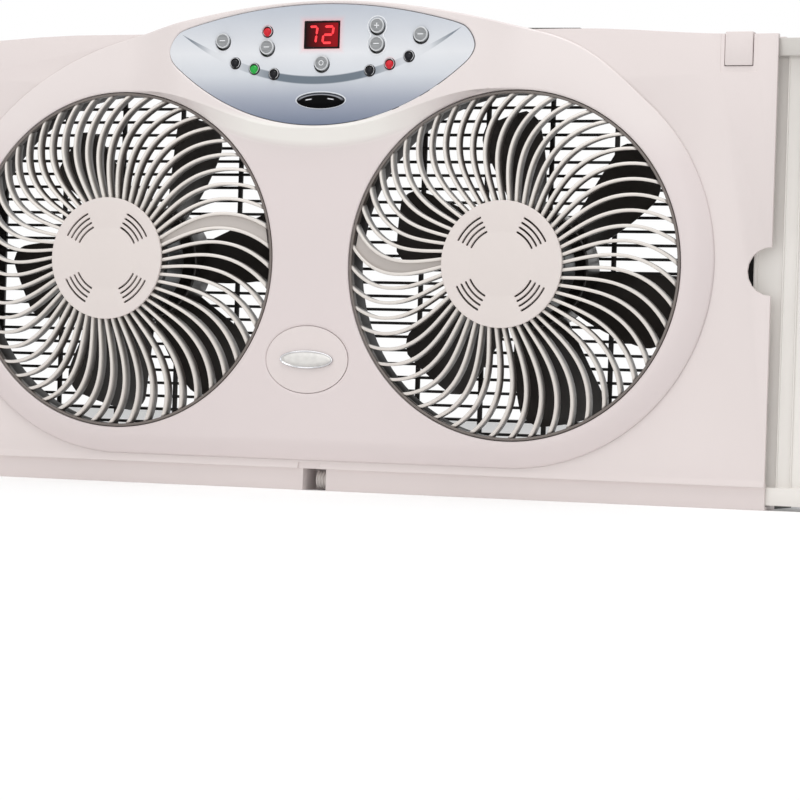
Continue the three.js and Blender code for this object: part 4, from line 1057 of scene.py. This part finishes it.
for side, sign in SIDES.items():
    x, phase = sign * AXIS_X, RIB_PHASE[side]
    ribs = [along_rib(x, phase + k * RIB_PITCH, lambda r: RIB_HALF, RIB_SECTION, HUB_OUT - 1.5, RIM_IN + 2)
            for k in range(RIBS)]
    rim = tube(112.2, RIM_OUT, 0.6, BEZEL_BACK, 0.5, x, 0, 208)
    hub = turned(rounded([(HUB_IN, -17), (HUB_OUT, -17), (HUB_OUT, -6), (10, -6), (10, -8), (HUB_IN, -8)], 0.5, 2),
                 x, 0, 128, loop=True)
    piece(side + "_grille_moulding", merged(rim, hub, *ribs), GRILLE_WHITE, "casing", "grille",
          side + "_front_grille", crease=50)
    turn = phase + (COVER_GAP[side] + 0.5) * RIB_PITCH
    cover = along_rib(x, turn, cover_half, COVER_SECTION, HUB_OUT + 0.5, RIM_IN - 0.5)
    piece(side + "_lead_cover_strip", cover, COVER_GREY, "casing", "grille", side + "_lead_cover")


# ---- Hub caps -----------------------------------------------------------------------------------
# A flat disc snaps over each grille's hub, with four groups of four arc slots to cool the motor.

CAP_R = 41.2
CAP_FRONT = -19.3
SLOT_RADII = (33.3, 29.9, 26.5, 23.1)
HUB_WHITE = moulded("hub_white", paint(220, 211, 207), 0.42, shift=0.012, texture=0.02)


def arc_slot(x, radius, middle, half_angle=18, half_width=0.68):
    """A slot along an arc, with round ends."""
    outline = []
    for sign in (1, -1):
        sweep = np.radians(np.linspace(middle - sign * half_angle, middle + sign * half_angle, 12))
        r = radius + sign * half_width
        outline += [(x + r * math.cos(a), r * math.sin(a)) for a in sweep]
        end = math.radians(middle + sign * half_angle)
        for bend in np.radians((45, 90, 135)):
            r = radius + sign * half_width * math.cos(bend)
            a = end + sign * half_width * math.sin(bend) / radius
            outline.append((x + r * math.cos(a), r * math.sin(a)))
    return outline


for side, sign in SIDES.items():
    x = sign * AXIS_X
    slots = [arc_slot(x, radius, middle) for middle in (45, 135, 225, 315) for radius in SLOT_RADII]
    cap = sheet(circle(CAP_R, x, 0, 144), slots, CAP_FRONT, CAP_FRONT + 2, 0.45)
    piece(side + "_hub_cap_disc", cap, HUB_WHITE, "casing", "bezel", side + "_hub_cap")


# ---- Floor, light and camera --------------------------------------------------------------------
# A pale floor, a white surround, three soft lamps, and the photograph's own viewpoint.

FLOOR_HALF = 6.0
LAMP_TARGET = Vector((0, 0, 0.15))


def pale_floor():
    material, shader, place = new_finish("pale_floor")
    tone = place.noise(4.0).mix(paint(252, 252, 252), paint(255, 255, 255))
    feed(shader, {"Base Color": tone, "Roughness": 0.9, "Specular IOR Level": 0.1})
    return material


floor_mesh = bpy.data.meshes.new("floor")
floor_mesh.from_pydata([(-FLOOR_HALF, -FLOOR_HALF, 0), (FLOOR_HALF, -FLOOR_HALF, 0), (FLOOR_HALF, FLOOR_HALF, 0),
                        (-FLOOR_HALF, FLOOR_HALF, 0)], [], [(0, 1, 2, 3)])
floor_mesh.materials.append(pale_floor())
floor = bpy.data.objects.new("floor", floor_mesh)
bpy.context.scene.collection.objects.link(floor)

world = bpy.data.worlds.new("studio")
bpy.context.scene.world = world
world.use_nodes = True
camera_ray, glossy_ray, transmitted_ray = (
    Wire(world.node_tree).node("ShaderNodeLightPath", output=kind)
    for kind in ("Is Camera Ray", "Is Glossy Ray", "Is Transmission Ray"))
seen = camera_ray.math("MAXIMUM", glossy_ray).math("MAXIMUM", transmitted_ray)
sky = world.node_tree.nodes["Background"]
AMBIENT = 0.54
sky.inputs["Color"].default_value = (1, 1, 1, 1)
world.node_tree.links.new((AMBIENT + seen * (1 - AMBIENT)).socket, sky.inputs["Strength"])


def soft_lamp(name, place, size, power):
    light = bpy.data.lights.new(name, "AREA")
    light.shape, light.size, light.energy = "SQUARE", size, power
    lamp_object = bpy.data.objects.new(name, light)
    bpy.context.scene.collection.objects.link(lamp_object)
    lamp_object.location = place
    lamp_object.rotation_euler = (LAMP_TARGET - Vector(place)).to_track_quat("-Z", "Y").to_euler()


soft_lamp("key_lamp", (-0.3, -2.7, 1.0), 2.4, 16)
soft_lamp("top_lamp", (0.2, -0.7, 2.4), 1.4, 28)
soft_lamp("fill_lamp", (2.0, -1.8, 0.6), 2.0, 2.5)

CAMERA_PLACE = Vector((0.8000, -1.9002, 0.0683))
CAMERA_TURN, CAMERA_DIP, CAMERA_ROLL = 0.374, 0.003, 0.032
CAMERA_LENS = 136.9
ahead = Vector((-math.sin(CAMERA_TURN) * math.cos(CAMERA_DIP), math.cos(CAMERA_TURN) * math.cos(CAMERA_DIP),
                -math.sin(CAMERA_DIP)))
level = Vector((math.cos(CAMERA_TURN), math.sin(CAMERA_TURN), 0))
upward = level.cross(ahead)
across = math.cos(CAMERA_ROLL) * level + math.sin(CAMERA_ROLL) * upward
above = math.cos(CAMERA_ROLL) * upward - math.sin(CAMERA_ROLL) * level
camera_data = bpy.data.cameras.new("camera")
camera_data.lens, camera_data.sensor_width = CAMERA_LENS, 36
camera = bpy.data.objects.new("camera", camera_data)
bpy.context.scene.collection.objects.link(camera)
camera.matrix_world = Matrix.Translation(CAMERA_PLACE) @ Matrix((across, above, -ahead)).transposed().to_4x4()
bpy.context.scene.camera = camera
bpy.context.scene.view_settings.view_transform = "Standard"
